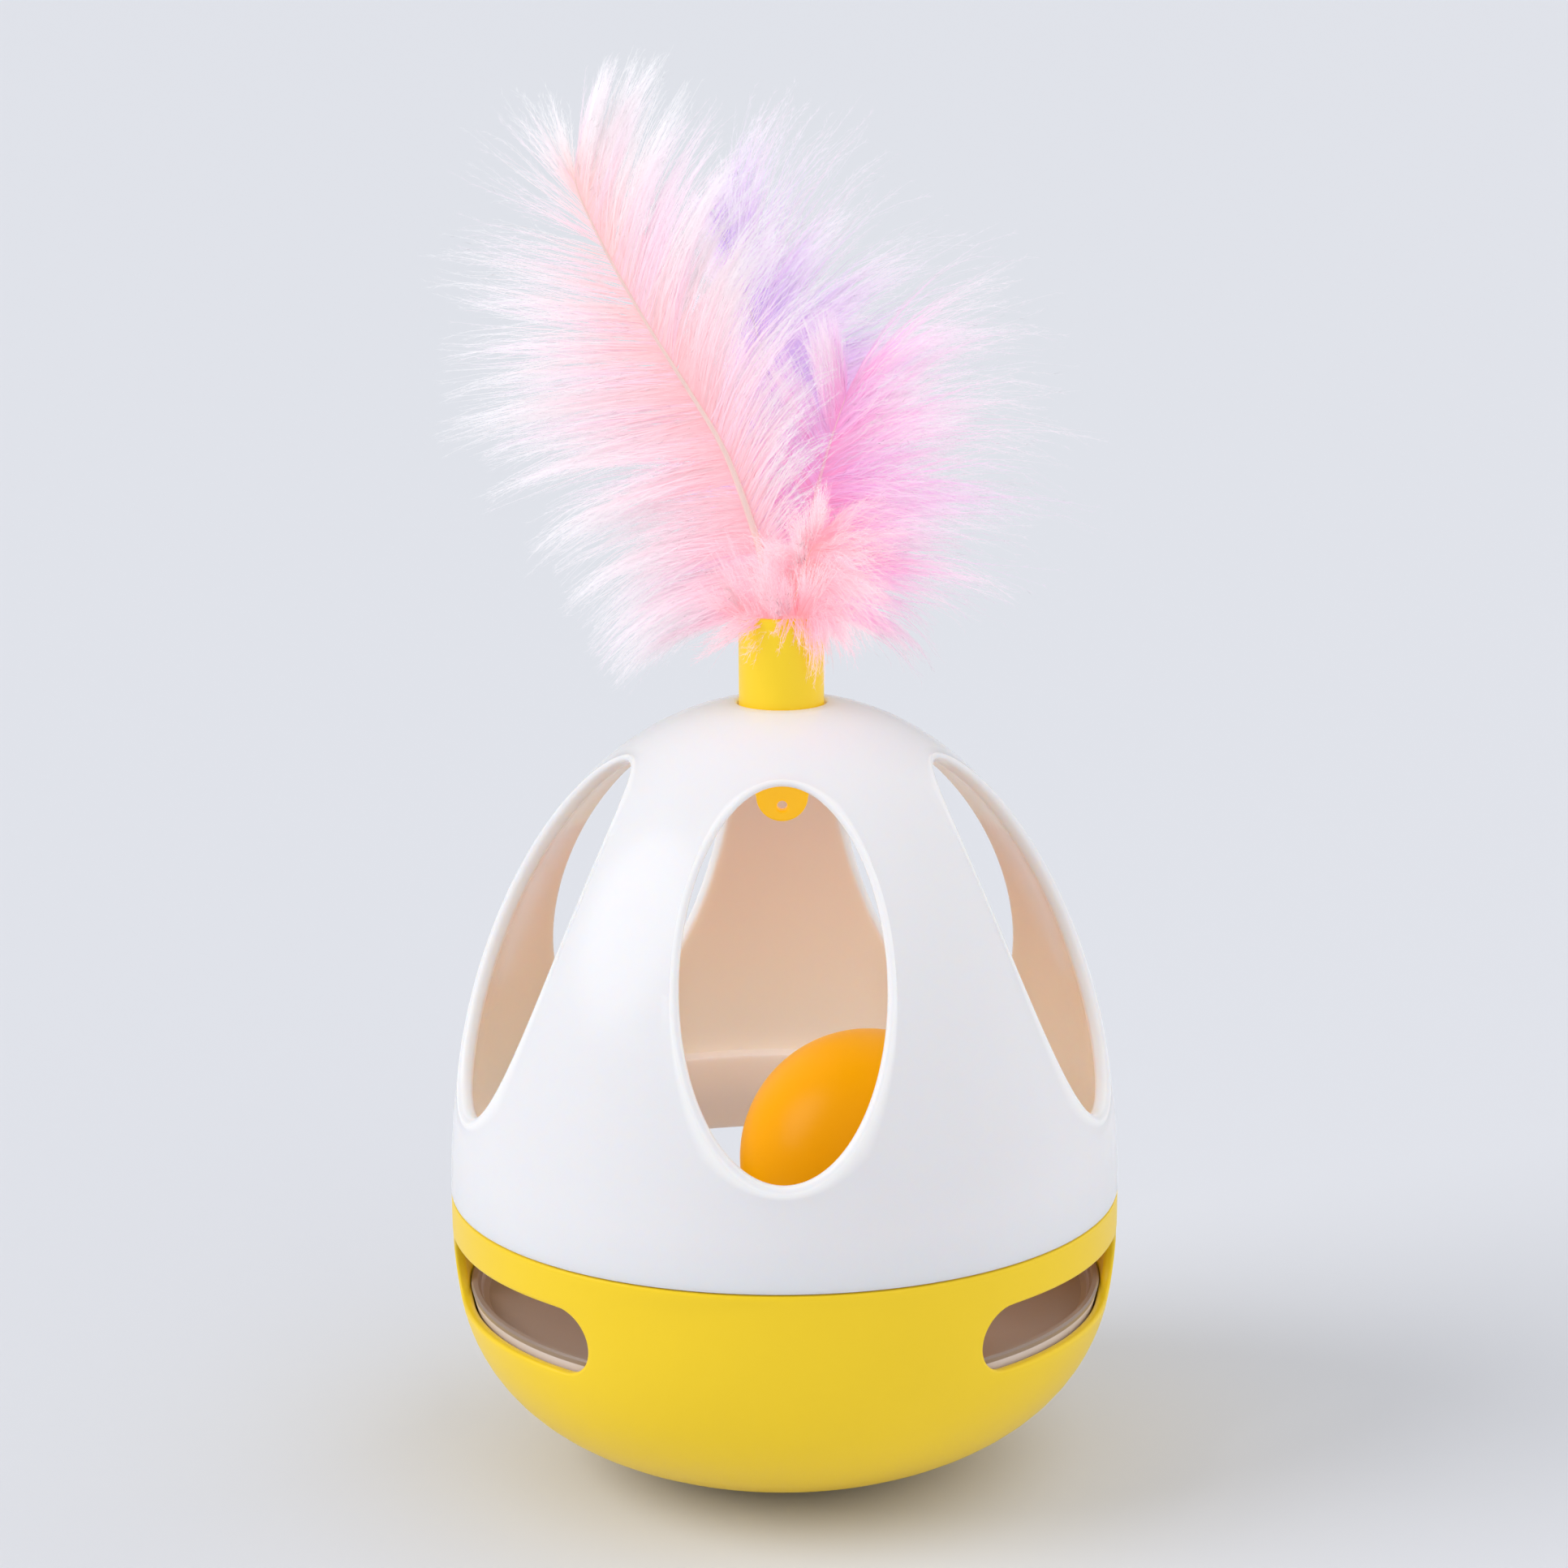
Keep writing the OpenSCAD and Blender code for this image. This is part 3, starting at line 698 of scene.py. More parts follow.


# Painted light: the inside's warm peach is paler low down, and its painted glow, for light off the
# ball, is strongest on the back wall behind the ball.
dome_white = (0.84, 0.845, 0.87, 1)
# Painted highlight: the windows' rounded edges get a brighter white than the shell.
rim_highlight_white = (0.96, 0.96, 0.97, 1)
dome_plastic, tree, milky, skin = plastic(
    "white_gloss_plastic", dome_white, gloss=0.22, unevenness=0.1, grain=700.0, mottle=0.015,
    bump=0.003 * MM)
place = add_node(tree, "TexCoord").outputs["Object"]
parts = add_node(tree, "SeparateXYZ", {"Vector": place})
climb = map_range(tree, parts.outputs["Z"], seam_z + 10 * MM, seam_z + 60 * MM)
peach = ramp(tree, climb, (0.0, (1.0, 0.89, 0.82, 1)), (1.0, (0.97, 0.69, 0.5, 1)))
faces = mix(tree, read(tree, "rim"), dome_white, rim_highlight_white)
aside = calculate(tree, "ABSOLUTE", parts.outputs["X"])
behind = map_range(tree, aside, 14 * MM, 30 * MM, 1.0, 0.2)
glow = calculate(tree, "MULTIPLY", read(tree, "inside"), behind)
feed(skin, {"Color": mix(tree, read(tree, "inside"), faces, peach)})
feed(milky, {"Specular IOR Level": 0.24, "Subsurface Weight": 1.0,
             "Subsurface Radius": (1.0, 0.85, 0.72), "Subsurface Scale": 2.5 * MM,
             "Emission Color": mix(tree, glow, (0, 0, 0, 1), (0.15, 0.115, 0.11, 1)),
             "Emission Strength": 1.0})
dress(outer, dome_plastic)


# Feather holder
# A yellow tube through the hole in the crown, closed below, moulded with a flange that stops
# under the dome and a flat tab with an eye for a thread, which hangs in the front window.

holder_low, holder_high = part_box("feather_holder")
mouth_z = holder_high.z
tube_r = 6.5 * MM
flange_r = holder_high.x
flange_z = seam_z + dome_height - 4.8 * MM
tab_low = holder_low.z
bore_r = tube_r - 1 * MM
bore_floor = seam_z + 77 * MM
holder = turned("feather_holder_piece", [
    (bore_r, bore_floor), (bore_r, mouth_z - 0.3 * MM),
    (tube_r - 0.8 * MM, mouth_z - 0.08 * MM), (tube_r - 0.5 * MM, mouth_z),
    (tube_r - 0.25 * MM, mouth_z - 0.08 * MM), (tube_r, mouth_z - 0.35 * MM),
    (tube_r, flange_z + 1.5 * MM), (flange_r, flange_z + 1.5 * MM), (flange_r, flange_z),
    (tube_r, flange_z), (tube_r, flange_z - 1.6 * MM), (0.5 * MM, flange_z - 1.6 * MM),
    (0.5 * MM, bore_floor)], 96)

tab_tip_r = 4 * MM
tab_taper = 0.45
tip_z = tab_low + tab_tip_r
shoulder_z = tip_z + (tube_r - tab_tip_r) / tab_taper
eye_r = 0.8 * MM
eye_z = tab_low + 2.4 * MM


def tab_edge(turn):
    """Point of the tab's outline that a ray from the eye meets."""
    ray = Vector((math.cos(turn), math.sin(turn)))
    reach = 14 * MM
    steps = 700
    for step in range(1, steps + 1):
        x = ray.x * reach * step / steps
        z = eye_z + ray.y * reach * step / steps
        half = tube_r
        if z < tip_z:
            half = math.sqrt(max(tab_tip_r ** 2 - (tip_z - z) ** 2, 0.0))
        elif z < shoulder_z:
            half = tab_tip_r + (z - tip_z) * tab_taper
        if abs(x) > half or z > flange_z:
            break
    return Vector((x, 0, z))


turns = [2 * math.pi * i / 64 for i in range(64)]
tab = start_loop("holder_tab", [(eye_r * math.cos(turn), 0, eye_z + eye_r * math.sin(turn))
                                for turn in turns])
pull_loop(tab, [tab_edge(turn) for turn in turns])
bpy.ops.mesh.select_all(action="SELECT")
bpy.ops.mesh.normals_make_consistent(inside=False)
bpy.ops.object.mode_set(mode="OBJECT")
thick = tab.modifiers.new("thickness", "SOLIDIFY")
thick.thickness = 2.2 * MM
thick.offset = 0.0
soften = tab.modifiers.new("soft_edges", "BEVEL")
soften.width = 0.35 * MM
soften.segments = 3
soften.limit_method = "ANGLE"
soften.angle_limit = math.radians(50)
bpy.ops.object.modifier_apply(modifier="thickness")
bpy.ops.object.modifier_apply(modifier="soft_edges")
join_pieces(holder, tab)
finish_mesh(holder, 35)
holder.name = holder.data.name = "yellow_feather_holder"
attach(holder, "dome")
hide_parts("feather_holder")

# The tab glows a little, painted light for the light that comes through the dome where it hangs;
# the tube above the dome has a fainter painted glow.
holder_plastic, tree, lit, _ = plastic(
    "yellow_tube_plastic", (1.0, 0.7, 0.01, 1), gloss=0.4, unevenness=0.12, grain=1400.0,
    mottle=0.06, bump=0.006 * MM)
place = add_node(tree, "TexCoord").outputs["Object"]
height = add_node(tree, "SeparateXYZ", {"Vector": place}).outputs["Z"]
above_dome = map_range(tree, height, flange_z - 1 * MM, flange_z + 1 * MM)
feed(lit, {"Emission Color": mix(tree, above_dome, (0.33, 0.14, 0.0, 1), (0.07, 0.035, 0.0, 1)),
           "Emission Strength": 1.0})
dress(holder, holder_plastic)


# Quill plug
# A soft pale rubber plug pressed into the tube, with a hole for each quill.

rubber, *_ = plastic("pale_rubber", (0.55, 0.5, 0.46, 1), gloss=0.75, unevenness=0.1,
                     grain=1200.0, mottle=0.1, bump=0.02 * MM)
dress(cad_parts["quill_plug"], rubber)


# Feathers
# Four dyed marabou feathers, their quills side by side in the plug. Each has a tapered quill
# and soft barbs gathered in pointed locks, with finer barbules along them. Routes and lengths
# are in millimetres from the middle of the tube's mouth.

def route_at(route, shares):
    """Points on a smooth curve through a route, each share from 0 to 1."""
    count = len(route) - 1
    place = np.clip(np.asarray(shares) * count, 0, count - 1e-6)
    start = place.astype(int)
    t = (place - start)[..., None]
    a = route[np.maximum(start - 1, 0)]
    b = route[start]
    c = route[start + 1]
    d = route[np.minimum(start + 2, count)]
    return 0.5 * (2 * b + (c - a) * t + (2 * a - 5 * b + 4 * c - d) * t ** 2
                  + (3 * b - a - 3 * c + d) * t ** 3)


def stops_at(stops, shares):
    """Values that run evenly through their stops along the quill, or stay at one value."""
    stops = np.atleast_1d(stops)
    return np.interp(shares, np.linspace(0, 1, len(stops)), stops)


LEFT = 1
RIGHT = -1


def vane_form(lean, droop, reach, locks, per_lock, barbules, seed, **ways):
    """How one side of a feather grows. Lean is the angle in degrees between a barb and the
    quill, droop how far the barb turns on its way out, and reach its length, each with stops
    from the feather's foot to its tip. Density, gather and width may have stops too. Uneven,
    wander and spread scatter the locks, stray is the share of loose barbs, fray and wave bend
    single barbs, curl brings tips forward or back, and splay stands barbules off their barb."""
    form = {"lean": lean, "droop": droop, "reach": reach, "locks": locks, "per_lock": per_lock,
            "barbules": barbules, "seed": seed, "uneven": 0.15, "wander": 8, "density": 1,
            "spread": 0.08, "gather": 0.5, "stray": 0.4, "fray": 1.2, "wave": 1.2,
            "width": 0.12, "curl": 0.0, "barbule": 1.6, "splay": 0.5}
    form.update(ways)
    return form


def unit(vectors):
    """The same directions, each one long."""
    return vectors / (np.linalg.norm(vectors, axis=-1, keepdims=True) + 1e-9)


seat_depth = 11.0


def quill(route, seat, radius):
    """A round tapered quill from its seat in the plug to the feather's tip."""
    line = [np.array([*seat, -seat_depth]), np.array([*seat, -1.0])]
    line += list(route_at(route, np.linspace(0, 1, 31)))
    turns = [2 * math.pi * i / 10 for i in range(10)]

    def ring(number):
        thin = radius * (1 - 0.9 * (number / (len(line) - 1)) ** 0.8)
        x, y, z = line[number]
        return [((x + thin * math.cos(turn)) * MM, (y + thin * 0.8 * math.sin(turn)) * MM,
                 z * MM + mouth_z) for turn in turns]

    stem = start_loop("quill", ring(0))
    bpy.ops.mesh.edge_face_add()
    for number in range(1, len(line)):
        pull_loop(stem, ring(number))
    bpy.ops.mesh.edge_face_add()
    finish_mesh(stem, 60)
    return stem


def barb_lines(route, side, form, shares, bends, lengths, outs, points):
    """The middle lines of barbs from the quill outwards, and the quill's heading at each."""
    t = np.linspace(0, 1, points)
    near = (route_at(route, np.minimum(shares + 0.02, 1))
            - route_at(route, np.maximum(shares - 0.02, 0)))
    heading = np.arctan2(near[:, 2], near[:, 0])
    first = heading + side * np.radians(stops_at(form["lean"], shares)) + bends
    droop = side * np.radians(stops_at(form["droop"], shares))
    turn = first[:, None] + droop[:, None] * t ** 1.4
    step = (lengths / (points - 1))[:, None]
    lines = np.zeros((len(shares), points, 3))
    lines[:, 1:, 0] = np.cumsum(np.cos(turn[:, :-1]) * step, axis=1)
    lines[:, 1:, 2] = np.cumsum(np.sin(turn[:, :-1]) * step, axis=1)
    lines[:, :, 1] = outs[:, None] * lengths[:, None] * t ** 1.5
    lines[:, :, 1] += form["curl"] * (lengths[:, None] * t / 30) ** 2
    return route_at(route, shares)[:, None, :] + lines, heading


def barbs(route, side, form, points=7):
    """The barbs of one side of a feather as fine ribbons, gathered in locks, each with short
    barbules."""
    locks, barbules = form["locks"], form["barbules"]
    dice = np.random.default_rng(form["seed"])
    t = np.linspace(0, 1, points)
    lock_share = (np.arange(locks) + dice.random(locks)) / locks
    lock_long = stops_at(form["reach"], lock_share) * (1 + form["uneven"] * dice.normal(size=locks))
    lock_bend = np.radians(form["wander"]) * dice.normal(size=locks)
    lock_out = form["spread"] * dice.normal(size=locks)
    middles, _ = barb_lines(route, side, form, lock_share, lock_bend, lock_long, lock_out, points)
    kept = np.rint(form["per_lock"] * stops_at(form["density"], lock_share)).astype(int)
    of_lock = np.repeat(np.arange(locks), kept)
    count = len(of_lock)
    offset = dice.normal(size=count)
    share = np.clip(lock_share[of_lock] + 0.75 / locks * offset, 0, 1)
    own_share = 1.08 - 0.55 * dice.random(count)
    own_long = lock_long[of_lock] * own_share
    own, heading = barb_lines(
        route, side, form, share,
        lock_bend[of_lock] + np.radians(4) * dice.normal(size=count), np.maximum(own_long, 2),
        lock_out[of_lock] + 0.4 * form["spread"] * dice.normal(size=count), points)
    stray = dice.random(count) < form["stray"]
    tight = stops_at(form["gather"], lock_share) * (0.75 + 0.25 * dice.random(locks))
    gather = np.where(stray, 0.1, tight[of_lock])
    pull = gather[:, None, None] * (t ** 1.1)[None, :, None]
    level_on = np.clip(t[None, :] * own_share[:, None], 0, 1) * (points - 1)
    below = np.minimum(level_on.astype(int), points - 2)
    low_point = middles[of_lock[:, None], below]
    high_point = middles[of_lock[:, None], below + 1]
    middle = low_point + (high_point - low_point) * (level_on - below)[:, :, None]
    lines = own * (1 - pull) + middle * pull
    lines += t[None, :, None] ** 2 * dice.normal(size=(count, 1, 3)) * form["fray"]
    wave = 2 * np.pi * (t[None, :] * (0.8 + dice.random((count, 1))) + dice.random((count, 1)))
    lines[:, :, 2] += form["wave"] * t ** 1.5 * np.sin(wave)

    # Each barb is a ribbon that narrows to its tip and faces the front, give or take.
    facing = unit(np.stack([0.4 * dice.normal(size=count), -np.ones(count),
                            0.4 * dice.normal(size=count)], axis=1))
    tangent = unit(np.gradient(lines, axis=1))
    across = unit(np.cross(tangent, facing[:, None, :]))
    half = (stops_at(form["width"], share) / 2)[:, None] * (1 - 0.93 * t ** 0.9)
    edge = across * half[:, :, None]
    ribbons = np.concatenate([lines + edge, lines - edge], axis=1)
    first = (np.arange(count) * 2 * points)[:, None, None]
    step = np.arange(points - 1)[None, :, None]
    quads = (first + step + np.array([0, 1, points + 1, points])).reshape(-1, 4)
    tint = np.clip(dice.random(locks)[of_lock] + 0.12 * dice.normal(size=count), 0, 1)
    round_off = np.clip(offset, -1.5, 1.5)[:, None] * np.stack(
        [np.cos(heading), np.zeros(count), np.sin(heading)], axis=1)
    soft_normal = unit(np.array([-0.3, -0.8, 0.35]) + 0.15 * round_off)

    # Barbules are three-cornered hairs that stand off both sides of the barbs.
    total = count * barbules
    owner = np.repeat(np.arange(count), barbules)
    at = 0.1 + 0.9 * dice.random(total) ** 0.8
    place = at * (points - 1)
    k = np.minimum(place.astype(int), points - 2)
    foot = lines[owner, k] + (lines[owner, k + 1] - lines[owner, k]) * (place - k)[:, None]
    run = unit(lines[owner, k + 1] - lines[owner, k])
    hand = np.where(dice.random(total) < 0.5, 1.0, -1.0)[:, None]
    sideways = unit(np.cross(run, facing[owner] + 0.5 * dice.normal(size=(total, 3)))) * hand
    long = (form["barbule"] * (0.6 + 0.8 * dice.random(total)) * (1.1 - 0.5 * at))[:, None]
    thick = 0.035
    tip = foot + long * unit(run + form["splay"] * sideways)
    barbule = np.stack([foot + hand * thick * run, foot - hand * thick * run, tip], axis=1)
    triangles = (np.arange(3 * total).reshape(-1, 3)) + count * 2 * points

    where = np.concatenate([ribbons.reshape(-1, 3), barbule.reshape(-1, 3)]) * MM
    where[:, 2] += mouth_z
    mesh = bpy.data.meshes.new("barbs")
    mesh.from_pydata(where.tolist(), [], quads.tolist() + triangles.tolist())
    down_at = np.stack([at, at, np.minimum(at + 0.12, 1)], axis=1).ravel()
    level = np.concatenate([np.repeat(share, 2 * points), np.repeat(share[owner], 3)])
    for title, values in (
            ("along", np.concatenate([np.tile(np.tile(t, 2), count), down_at])),
            ("lock", np.concatenate([np.repeat(tint, 2 * points), np.repeat(tint[owner], 3)])),
            ("level", level)):
        layer = mesh.attributes.new(title, "FLOAT", "POINT")
        layer.data.foreach_set("value", values.astype(np.float32))
    mesh.shade_smooth()
    normals = np.concatenate([np.repeat(soft_normal, 2 * points, axis=0),
                              np.repeat(soft_normal[owner], 3, axis=0)])
    mesh.normals_split_custom_set_from_vertices(normals.tolist())
    vane = bpy.data.objects.new("barbs", mesh)
    bpy.context.scene.collection.objects.link(vane)
    return vane


def feather_material(name, low, high, lock_tone, glow=0.19):
    """Dyed down: colour runs from the quill to pale tips, from one set of colours at the
    feather's foot to another at its end, and each lock is a little different."""
    material, tree, shader = new_material(name)
    foot, end = [ramp(tree, read(tree, "along"), (0.0, root), (0.4, middle), (0.85, tip))
                 for root, middle, tip in (low, high)]
    amount = map_range(tree, read(tree, "lock"), 0.6, 1.0, 0.0, 0.45)
    dyed = mix(tree, amount, mix(tree, read(tree, "level"), foot, end), lock_tone)
    # Painted light: the down glows a little in its own colour, for light that scatters through the
    # fine barbs.
    feed(shader, {"Roughness": 0.8, "Specular IOR Level": 0.15, "Sheen Weight": 0.2,
                  "Base Color": dyed, "Emission Color": dyed, "Emission Strength": glow})
    return material


def quill_material(name, color):
    """Horn-like quill, slightly glossy, streaked along its length."""
    material, tree, shader = new_material(name)
    where = add_node(tree, "TexCoord").outputs["Object"]
    streak = add_node(tree, "Mapping", {"Vector": where, "Scale": (1.0, 1.0, 0.12)})
    noise = add_node(tree, "TexNoise", {"Vector": streak.outputs["Vector"], "Scale": 1800.0})
    horn = ramp(tree, noise.outputs["Fac"], (0.0, darker(color, 0.82)), (1.0, color))
    # Painted light: the quill glows faintly in its own colour.
    feed(shader, {"Roughness": 0.4, "Base Color": horn, "Emission Color": horn,
                  "Emission Strength": 0.12})
    return material


def assemble_feather(name, node, stem, vanes, color, quill_color):
    """Join barbs and quill, give each its finish, and let the whole replace its CAD solid."""
    dress(stem, quill_color)
    for vane in vanes:
        dress(vane, color)
    join_pieces(vanes[0], stem, *vanes[1:])
    bpy.ops.object.mode_set(mode="OBJECT")
    feather = vanes[0]
    feather.name = feather.data.name = name
    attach(feather, "dome")
    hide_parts(node)


plug_r = 5.45

# The pale pink feather in front: its quill shows, and its barbs end in white tips.
main_route = np.array([
    (-1.6, -2.5, 1), (-2.4, -2.7, 7), (-4.6, -2.9, 15), (-8.5, -3.1, 25.5), (-14, -3.4, 35),
    (-19.5, -3.8, 44), (-25, -4, 54), (-29, -4, 62.5), (-30, -4, 66)])
main_ways = {"uneven": 0.08, "wander": 5, "spread": 0.05, "stray": 0.2, "fray": 0.3,
             "wave": 0.8, "curl": -1.5, "barbule": 1.4, "splay": 0.45}
main_left = vane_form(
    (96, 88, 78, 70, 60, 54, 40, 22, 6), (50, 48, 38, 24, 14, 8, 4, 0, 0),
    (24, 28, 30, 32, 33, 30, 23, 17, 13), density=(1, 1, 1, 1, 1, 0.6, 0.16, 0.12, 0.34),
    gather=(0.9, 0.95, 0.95, 0.9, 0.85, 0.7, 0.3, 0.1, 0.1),
    width=(0.2, 0.2, 0.2, 0.2, 0.2, 0.16, 0.1, 0.1, 0.1), locks=50, per_lock=54, barbules=22,
    seed=11, **main_ways)
main_right = vane_form(
    (70, 56, 46, 40, 40, 42, 42, 38, 24), (20, 24, 32, 46, 44, 36, 26, 12, 0),
    (10, 14, 19, 26, 31, 32, 28, 21, 14), density=(0.2, 0.3, 0.4, 0.8, 1, 1, 1, 1, 0.8),
    gather=(0.7, 0.85, 0.95), width=0.2, locks=40, per_lock=62, barbules=22, seed=12, **main_ways)
assemble_feather(
    "pale_pink_feather", "feather_main",
    quill(main_route, (-0.26 * plug_r, -0.44 * plug_r), 0.85),
    [barbs(main_route, LEFT, main_left), barbs(main_route, RIGHT, main_right)],
    feather_material(
        "pale_pink_down",
        ((1.0, 0.49, 0.59, 1), (1.0, 0.68, 0.79, 1), (0.93, 0.88, 0.92, 1)),
        ((1.0, 0.66, 0.63, 1), (1.0, 0.87, 0.88, 1), (0.98, 0.97, 0.99, 1)),
        (0.97, 0.72, 0.90, 1)),
    quill_material("pale_quill", (1.0, 0.72, 0.66, 1)))

# The lilac feather stands behind it and shows between its barbs.
lilac_route = np.array([
    (-1.6, 3, 1), (-1.5, 4, 8), (-1.3, 5, 16), (-1, 6, 26), (-2, 7, 36), (-5, 7.5, 47),
    (-9, 8, 58)])
lilac_left = vane_form(
    (88, 84, 76, 62, 46, 32, 20), (20, 14, 6, 0, 0, 0, 0), (14, 20, 19, 17, 14, 10, 7),
    uneven=0.12, wander=6, spread=0.05, gather=0.85, stray=0.15, fray=0.5, wave=0.7, width=0.24,
    curl=1.5, barbule=1.4, splay=0.42, locks=20, per_lock=56, barbules=14, seed=21)
lilac_right = vane_form(
    (66, 66, 62, 58, 52, 38, 20), (20, 26, 38, 44, 40, 20, 0), (17, 20, 24, 28, 26, 17, 8),
    uneven=0.16, wander=7, density=(0.7, 0.8, 1, 1, 1, 1, 1), spread=0.06, gather=0.85, stray=0.2,
    fray=0.6, wave=0.9, width=0.22, curl=1.5, barbule=1.5, splay=0.42, locks=32, per_lock=60,
    barbules=16, seed=22)
lilac_wisps = vane_form(
    (60, 58, 52, 46, 40, 32, 24), (40, 44, 50, 52, 44, 34, 20), (30, 34, 38, 39, 37, 30, 20),
    uneven=0.12, curl=1.5, locks=34, per_lock=20, barbules=22, seed=23)
assemble_feather(
    "lilac_feather", "feather_lilac",
    quill(lilac_route, (-0.3 * plug_r, 0.44 * plug_r), 0.8),
    [barbs(lilac_route, LEFT, lilac_left), barbs(lilac_route, RIGHT, lilac_right),
     barbs(lilac_route, RIGHT, lilac_wisps)],
    feather_material(
        "lilac_down",
        ((0.73, 0.48, 0.86, 1), (0.83, 0.62, 0.92, 1), (1.0, 0.88, 0.96, 1)),
        ((0.66, 0.50, 0.87, 1), (0.77, 0.63, 0.92, 1), (0.95, 0.89, 0.98, 1)),
        (1.0, 0.72, 0.88, 1)),
    quill_material("lilac_quill_horn", (0.75, 0.6, 0.8, 1)))

# The bright pink feather leans to the right.
pink_route = np.array([
    (2.5, 1.4, 1), (3.2, 1.2, 6), (4.1, 0.8, 12), (5.5, 0.4, 18.5), (7.6, 0, 26), (10, 0, 33)])
pink_left = vane_form(
    (78, 66, 56, 50, 38, 26), (10, 0, -6, -6, 0, 0), (13, 18, 22, 22, 19, 13), wander=9,
    spread=0.07, gather=0.8, stray=0.25, fray=0.7, wave=1.0, width=0.24, barbule=1.4, locks=32,
    per_lock=56, barbules=14, seed=31)
pink_right = vane_form(
    (84, 74, 62, 52, 36, 8), (56, 46, 36, 30, 30, 24), (18, 21, 22, 21, 18, 12), uneven=0.2,
    wander=9, density=(1, 1, 1, 1, 0.8, 0.5), gather=0.8, stray=0.2, fray=0.7, wave=1.0,
    width=0.22, barbule=1.5, locks=26, per_lock=56, barbules=16, seed=32)
pink_wisps = vane_form(
    (66, 60, 52, 44, 30, 12), (50, 52, 56, 60, 58, 50), (30, 34, 38, 39, 36, 30), locks=26,
    per_lock=14, barbules=22, seed=33)
assemble_feather(
    "bright_pink_feather", "feather_pink",
    quill(pink_route, (0.44 * plug_r, 0.26 * plug_r), 0.8),
    [barbs(pink_route, LEFT, pink_left), barbs(pink_route, RIGHT, pink_right),
     barbs(pink_route, RIGHT, pink_wisps)],
    feather_material(
        "bright_pink_down",
        ((1.0, 0.34, 0.59, 1), (1.0, 0.50, 0.78, 1), (0.98, 0.82, 0.91, 1)),
        ((1.0, 0.40, 0.74, 1), (1.0, 0.62, 0.86, 1), (0.98, 0.88, 0.94, 1)),
        (0.86, 0.55, 0.92, 1)),
    quill_material("pink_quill_horn", (1.0, 0.55, 0.7, 1)))

# Short coral down at the mouth of the tube, a few wisps of it over the rim.
coral_route = np.array([
    (1.5, -2.9, 0.5), (2.2, -3.6, 3), (3, -4.2, 6), (4, -4.8, 9), (5.2, -5.2, 12)])
coral_left = vane_form(
    (116, 94, 74, 56, 40), (20, 10, 0, -10, 0), (11, 11, 9, 7, 6), uneven=0.25, wander=26,
    density=(1.4, 1, 0.8), spread=0.3, fray=0.8, width=0.18, barbule=1.2, splay=0.6, locks=34,
    per_lock=44, barbules=14, seed=41)
coral_right = vane_form(
    (112, 104, 86, 62, 40), (60, 56, 46, 30, 20), (8, 10, 13, 13, 10), uneven=0.3, wander=30,
    density=(1.4, 1, 0.8), spread=0.3, fray=0.9, wave=1.3, width=0.18, curl=-7.0, barbule=1.3,
    splay=0.6, locks=30, per_lock=36, barbules=14, seed=42)
mouth_route = np.array([(-5, -3.2, -1), (-2, -5, -0.6), (2, -5.2, -0.6), (5, -3.6, -1)])
coral_mouth = vane_form(
    (128, 106, 80, 54), (10, 0, 0, -10), (9, 10, 10, 9), uneven=0.3, wander=30, spread=0.25,
    fray=0.8, width=0.18, curl=-3.0, barbule=1.2, splay=0.6, locks=26, per_lock=40, barbules=12,
    seed=43)
rim_route = np.array([(0.5, -6.8, 0.6), (3, -6.2, 0.6), (5.2, -4.6, 0.6), (6.6, -2.4, 0.6)])
coral_rim = vane_form(
    (100, 90, 78, 66), 0, (4, 6.5, 6, 7), uneven=0.3, wander=22, spread=0.06, gather=0.7,
    stray=0.3, fray=0.4, wave=0.9, width=0.13, curl=-8.0, barbule=0.9, splay=0.6, locks=13,
    per_lock=7, barbules=10, seed=44)
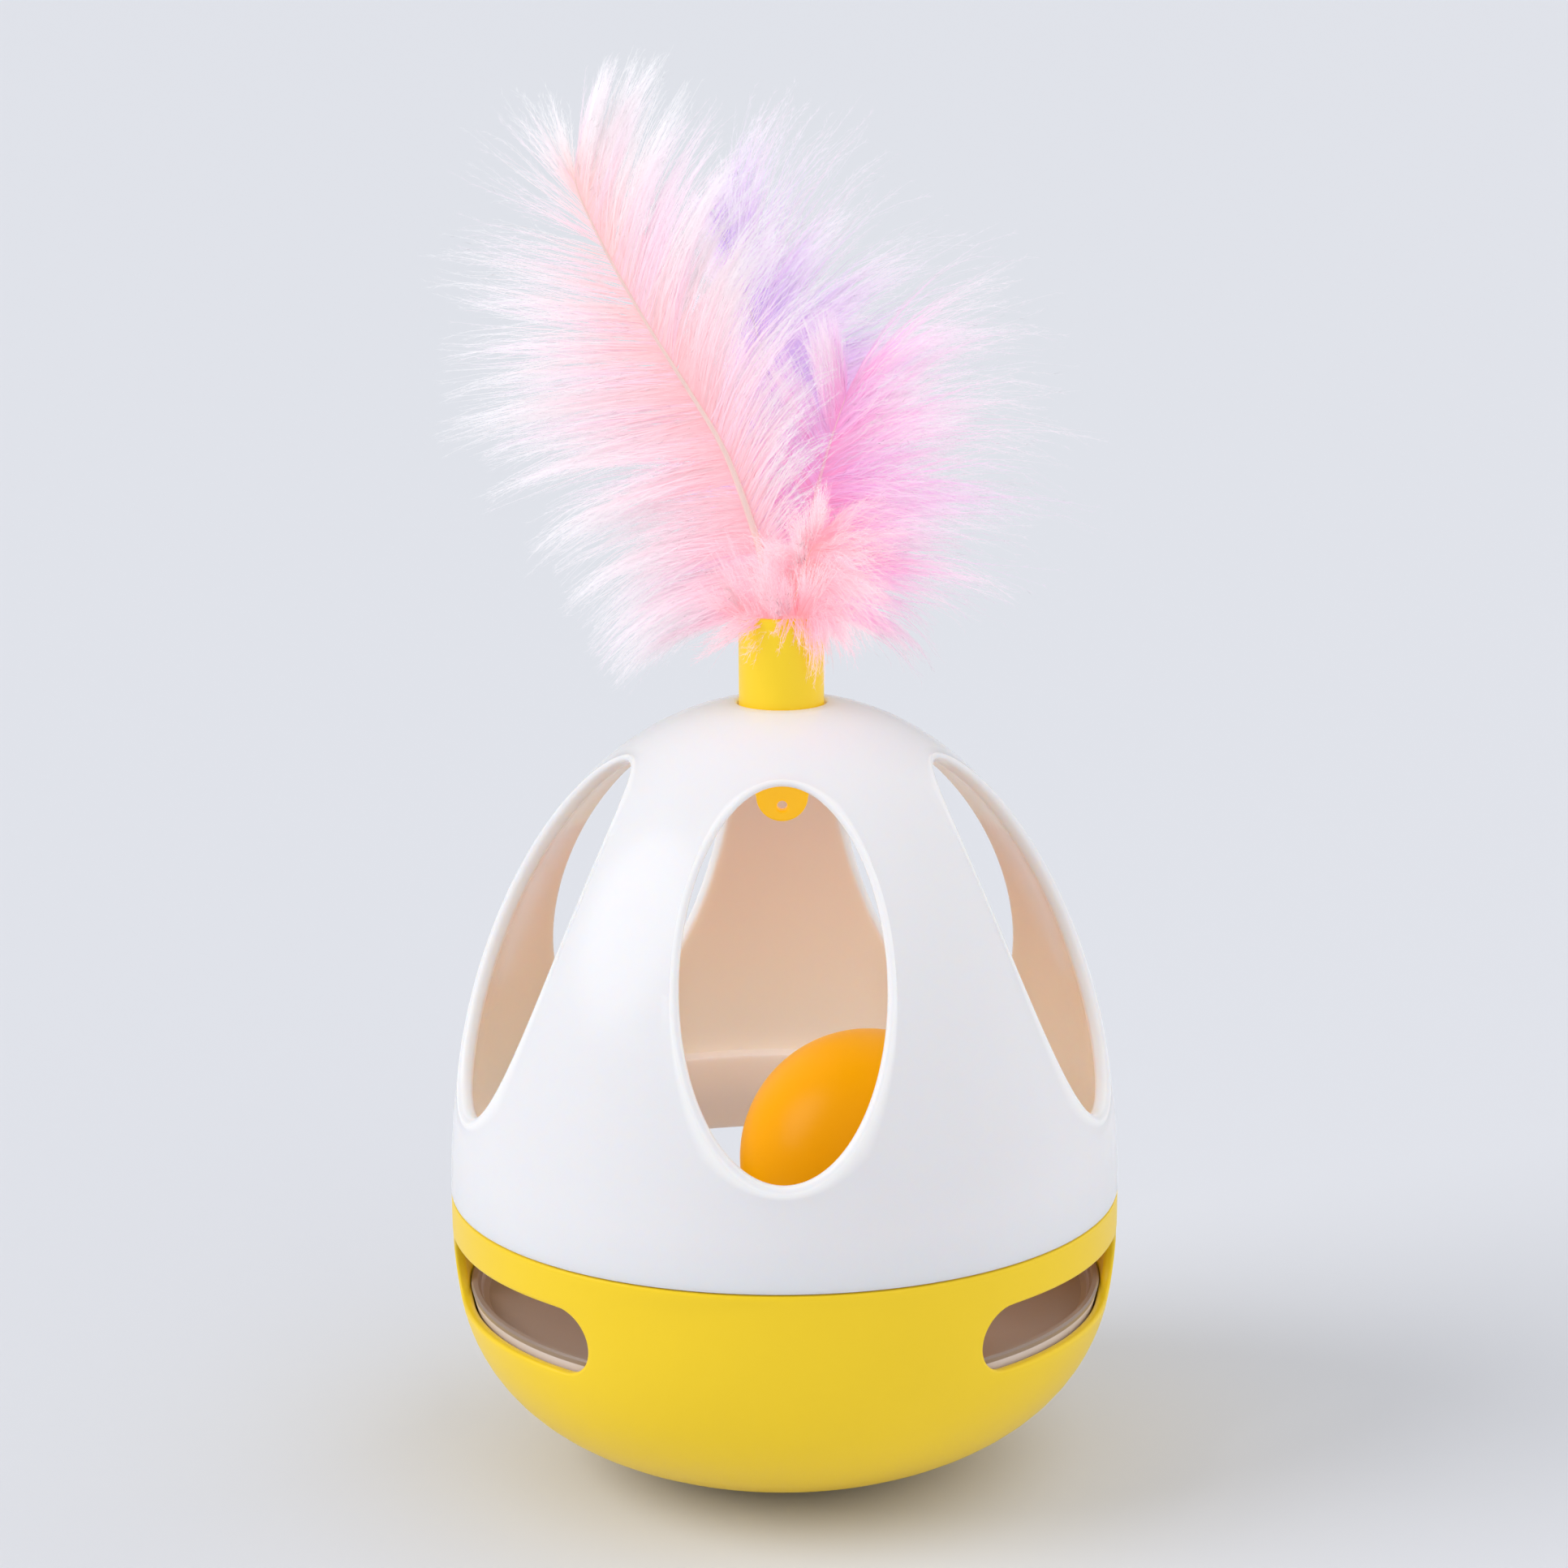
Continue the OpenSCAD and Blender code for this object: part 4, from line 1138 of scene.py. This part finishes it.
# The coral down glows more, painted light where the other feathers shade it.
assemble_feather(
    "coral_down_feather", "feather_coral",
    quill(coral_route, (0.48 * plug_r, -0.48 * plug_r), 0.3),
    [barbs(coral_route, LEFT, coral_left), barbs(coral_route, RIGHT, coral_right),
     barbs(mouth_route, LEFT, coral_mouth), barbs(rim_route, RIGHT, coral_rim)],
    feather_material(
        "coral_down",
        ((1.0, 0.44, 0.46, 1), (1.0, 0.53, 0.60, 1), (1.0, 0.70, 0.76, 1)),
        ((1.0, 0.48, 0.53, 1), (1.0, 0.58, 0.66, 1), (1.0, 0.78, 0.83, 1)),
        (1.0, 0.48, 0.62, 1), glow=0.27),
    quill_material("coral_quill_horn", (1.0, 0.6, 0.5, 1)))


# Table and light
# A wide pale floor, soft light from the upper left, a weak fill from the right and an even
# sky, as in a product photo. The camera stands a little above the toy.

bpy.ops.object.select_all(action="DESELECT")
bpy.ops.mesh.primitive_plane_add(size=40)
floor = bpy.context.object
floor.name = floor.data.name = "floor"
paper, _, matt = new_material("pale_paper")
feed(matt, {"Base Color": (0.785, 0.802, 0.852, 1), "Roughness": 0.9, "Specular IOR Level": 0.1})
dress(floor, paper)

world = bpy.data.worlds.new("even_sky")
bpy.context.scene.world = world
world.use_nodes = True
feed(world.node_tree.nodes["Background"], {"Color": (0.97, 0.98, 1.0, 1), "Strength": 0.518})

for name, travel, energy, spread in (("soft_window_light", (0.80, 0.21, -0.56), 1.46, 42),
                                     ("weak_fill_light", (-0.86, 0.22, -0.46), 1.2, 110)):
    bpy.ops.object.light_add(type="SUN")
    sun = bpy.context.object
    sun.name = name
    sun.rotation_euler = Vector(travel).to_track_quat("-Z", "Y").to_euler()
    sun.data.energy = energy
    sun.data.angle = math.radians(spread)

camera_tilt = math.radians(90 - 13.076)
camera_roll = math.radians(-0.35)
camera_data = bpy.data.cameras.new("photo_camera")
camera = bpy.data.objects.new("photo_camera", camera_data)
bpy.context.scene.collection.objects.link(camera)
camera_data.lens = 96.0
camera_data.sensor_width = 36.0
camera_data.clip_end = 60.0
camera.location = (0.0003, -0.624, seam_z + 0.2089)
camera.rotation_euler = (Matrix.Rotation(camera_tilt, 3, "X")
                         @ Matrix.Rotation(camera_roll, 3, "Z")).to_euler()
bpy.context.scene.camera = camera
bpy.context.scene.view_settings.view_transform = "Standard"
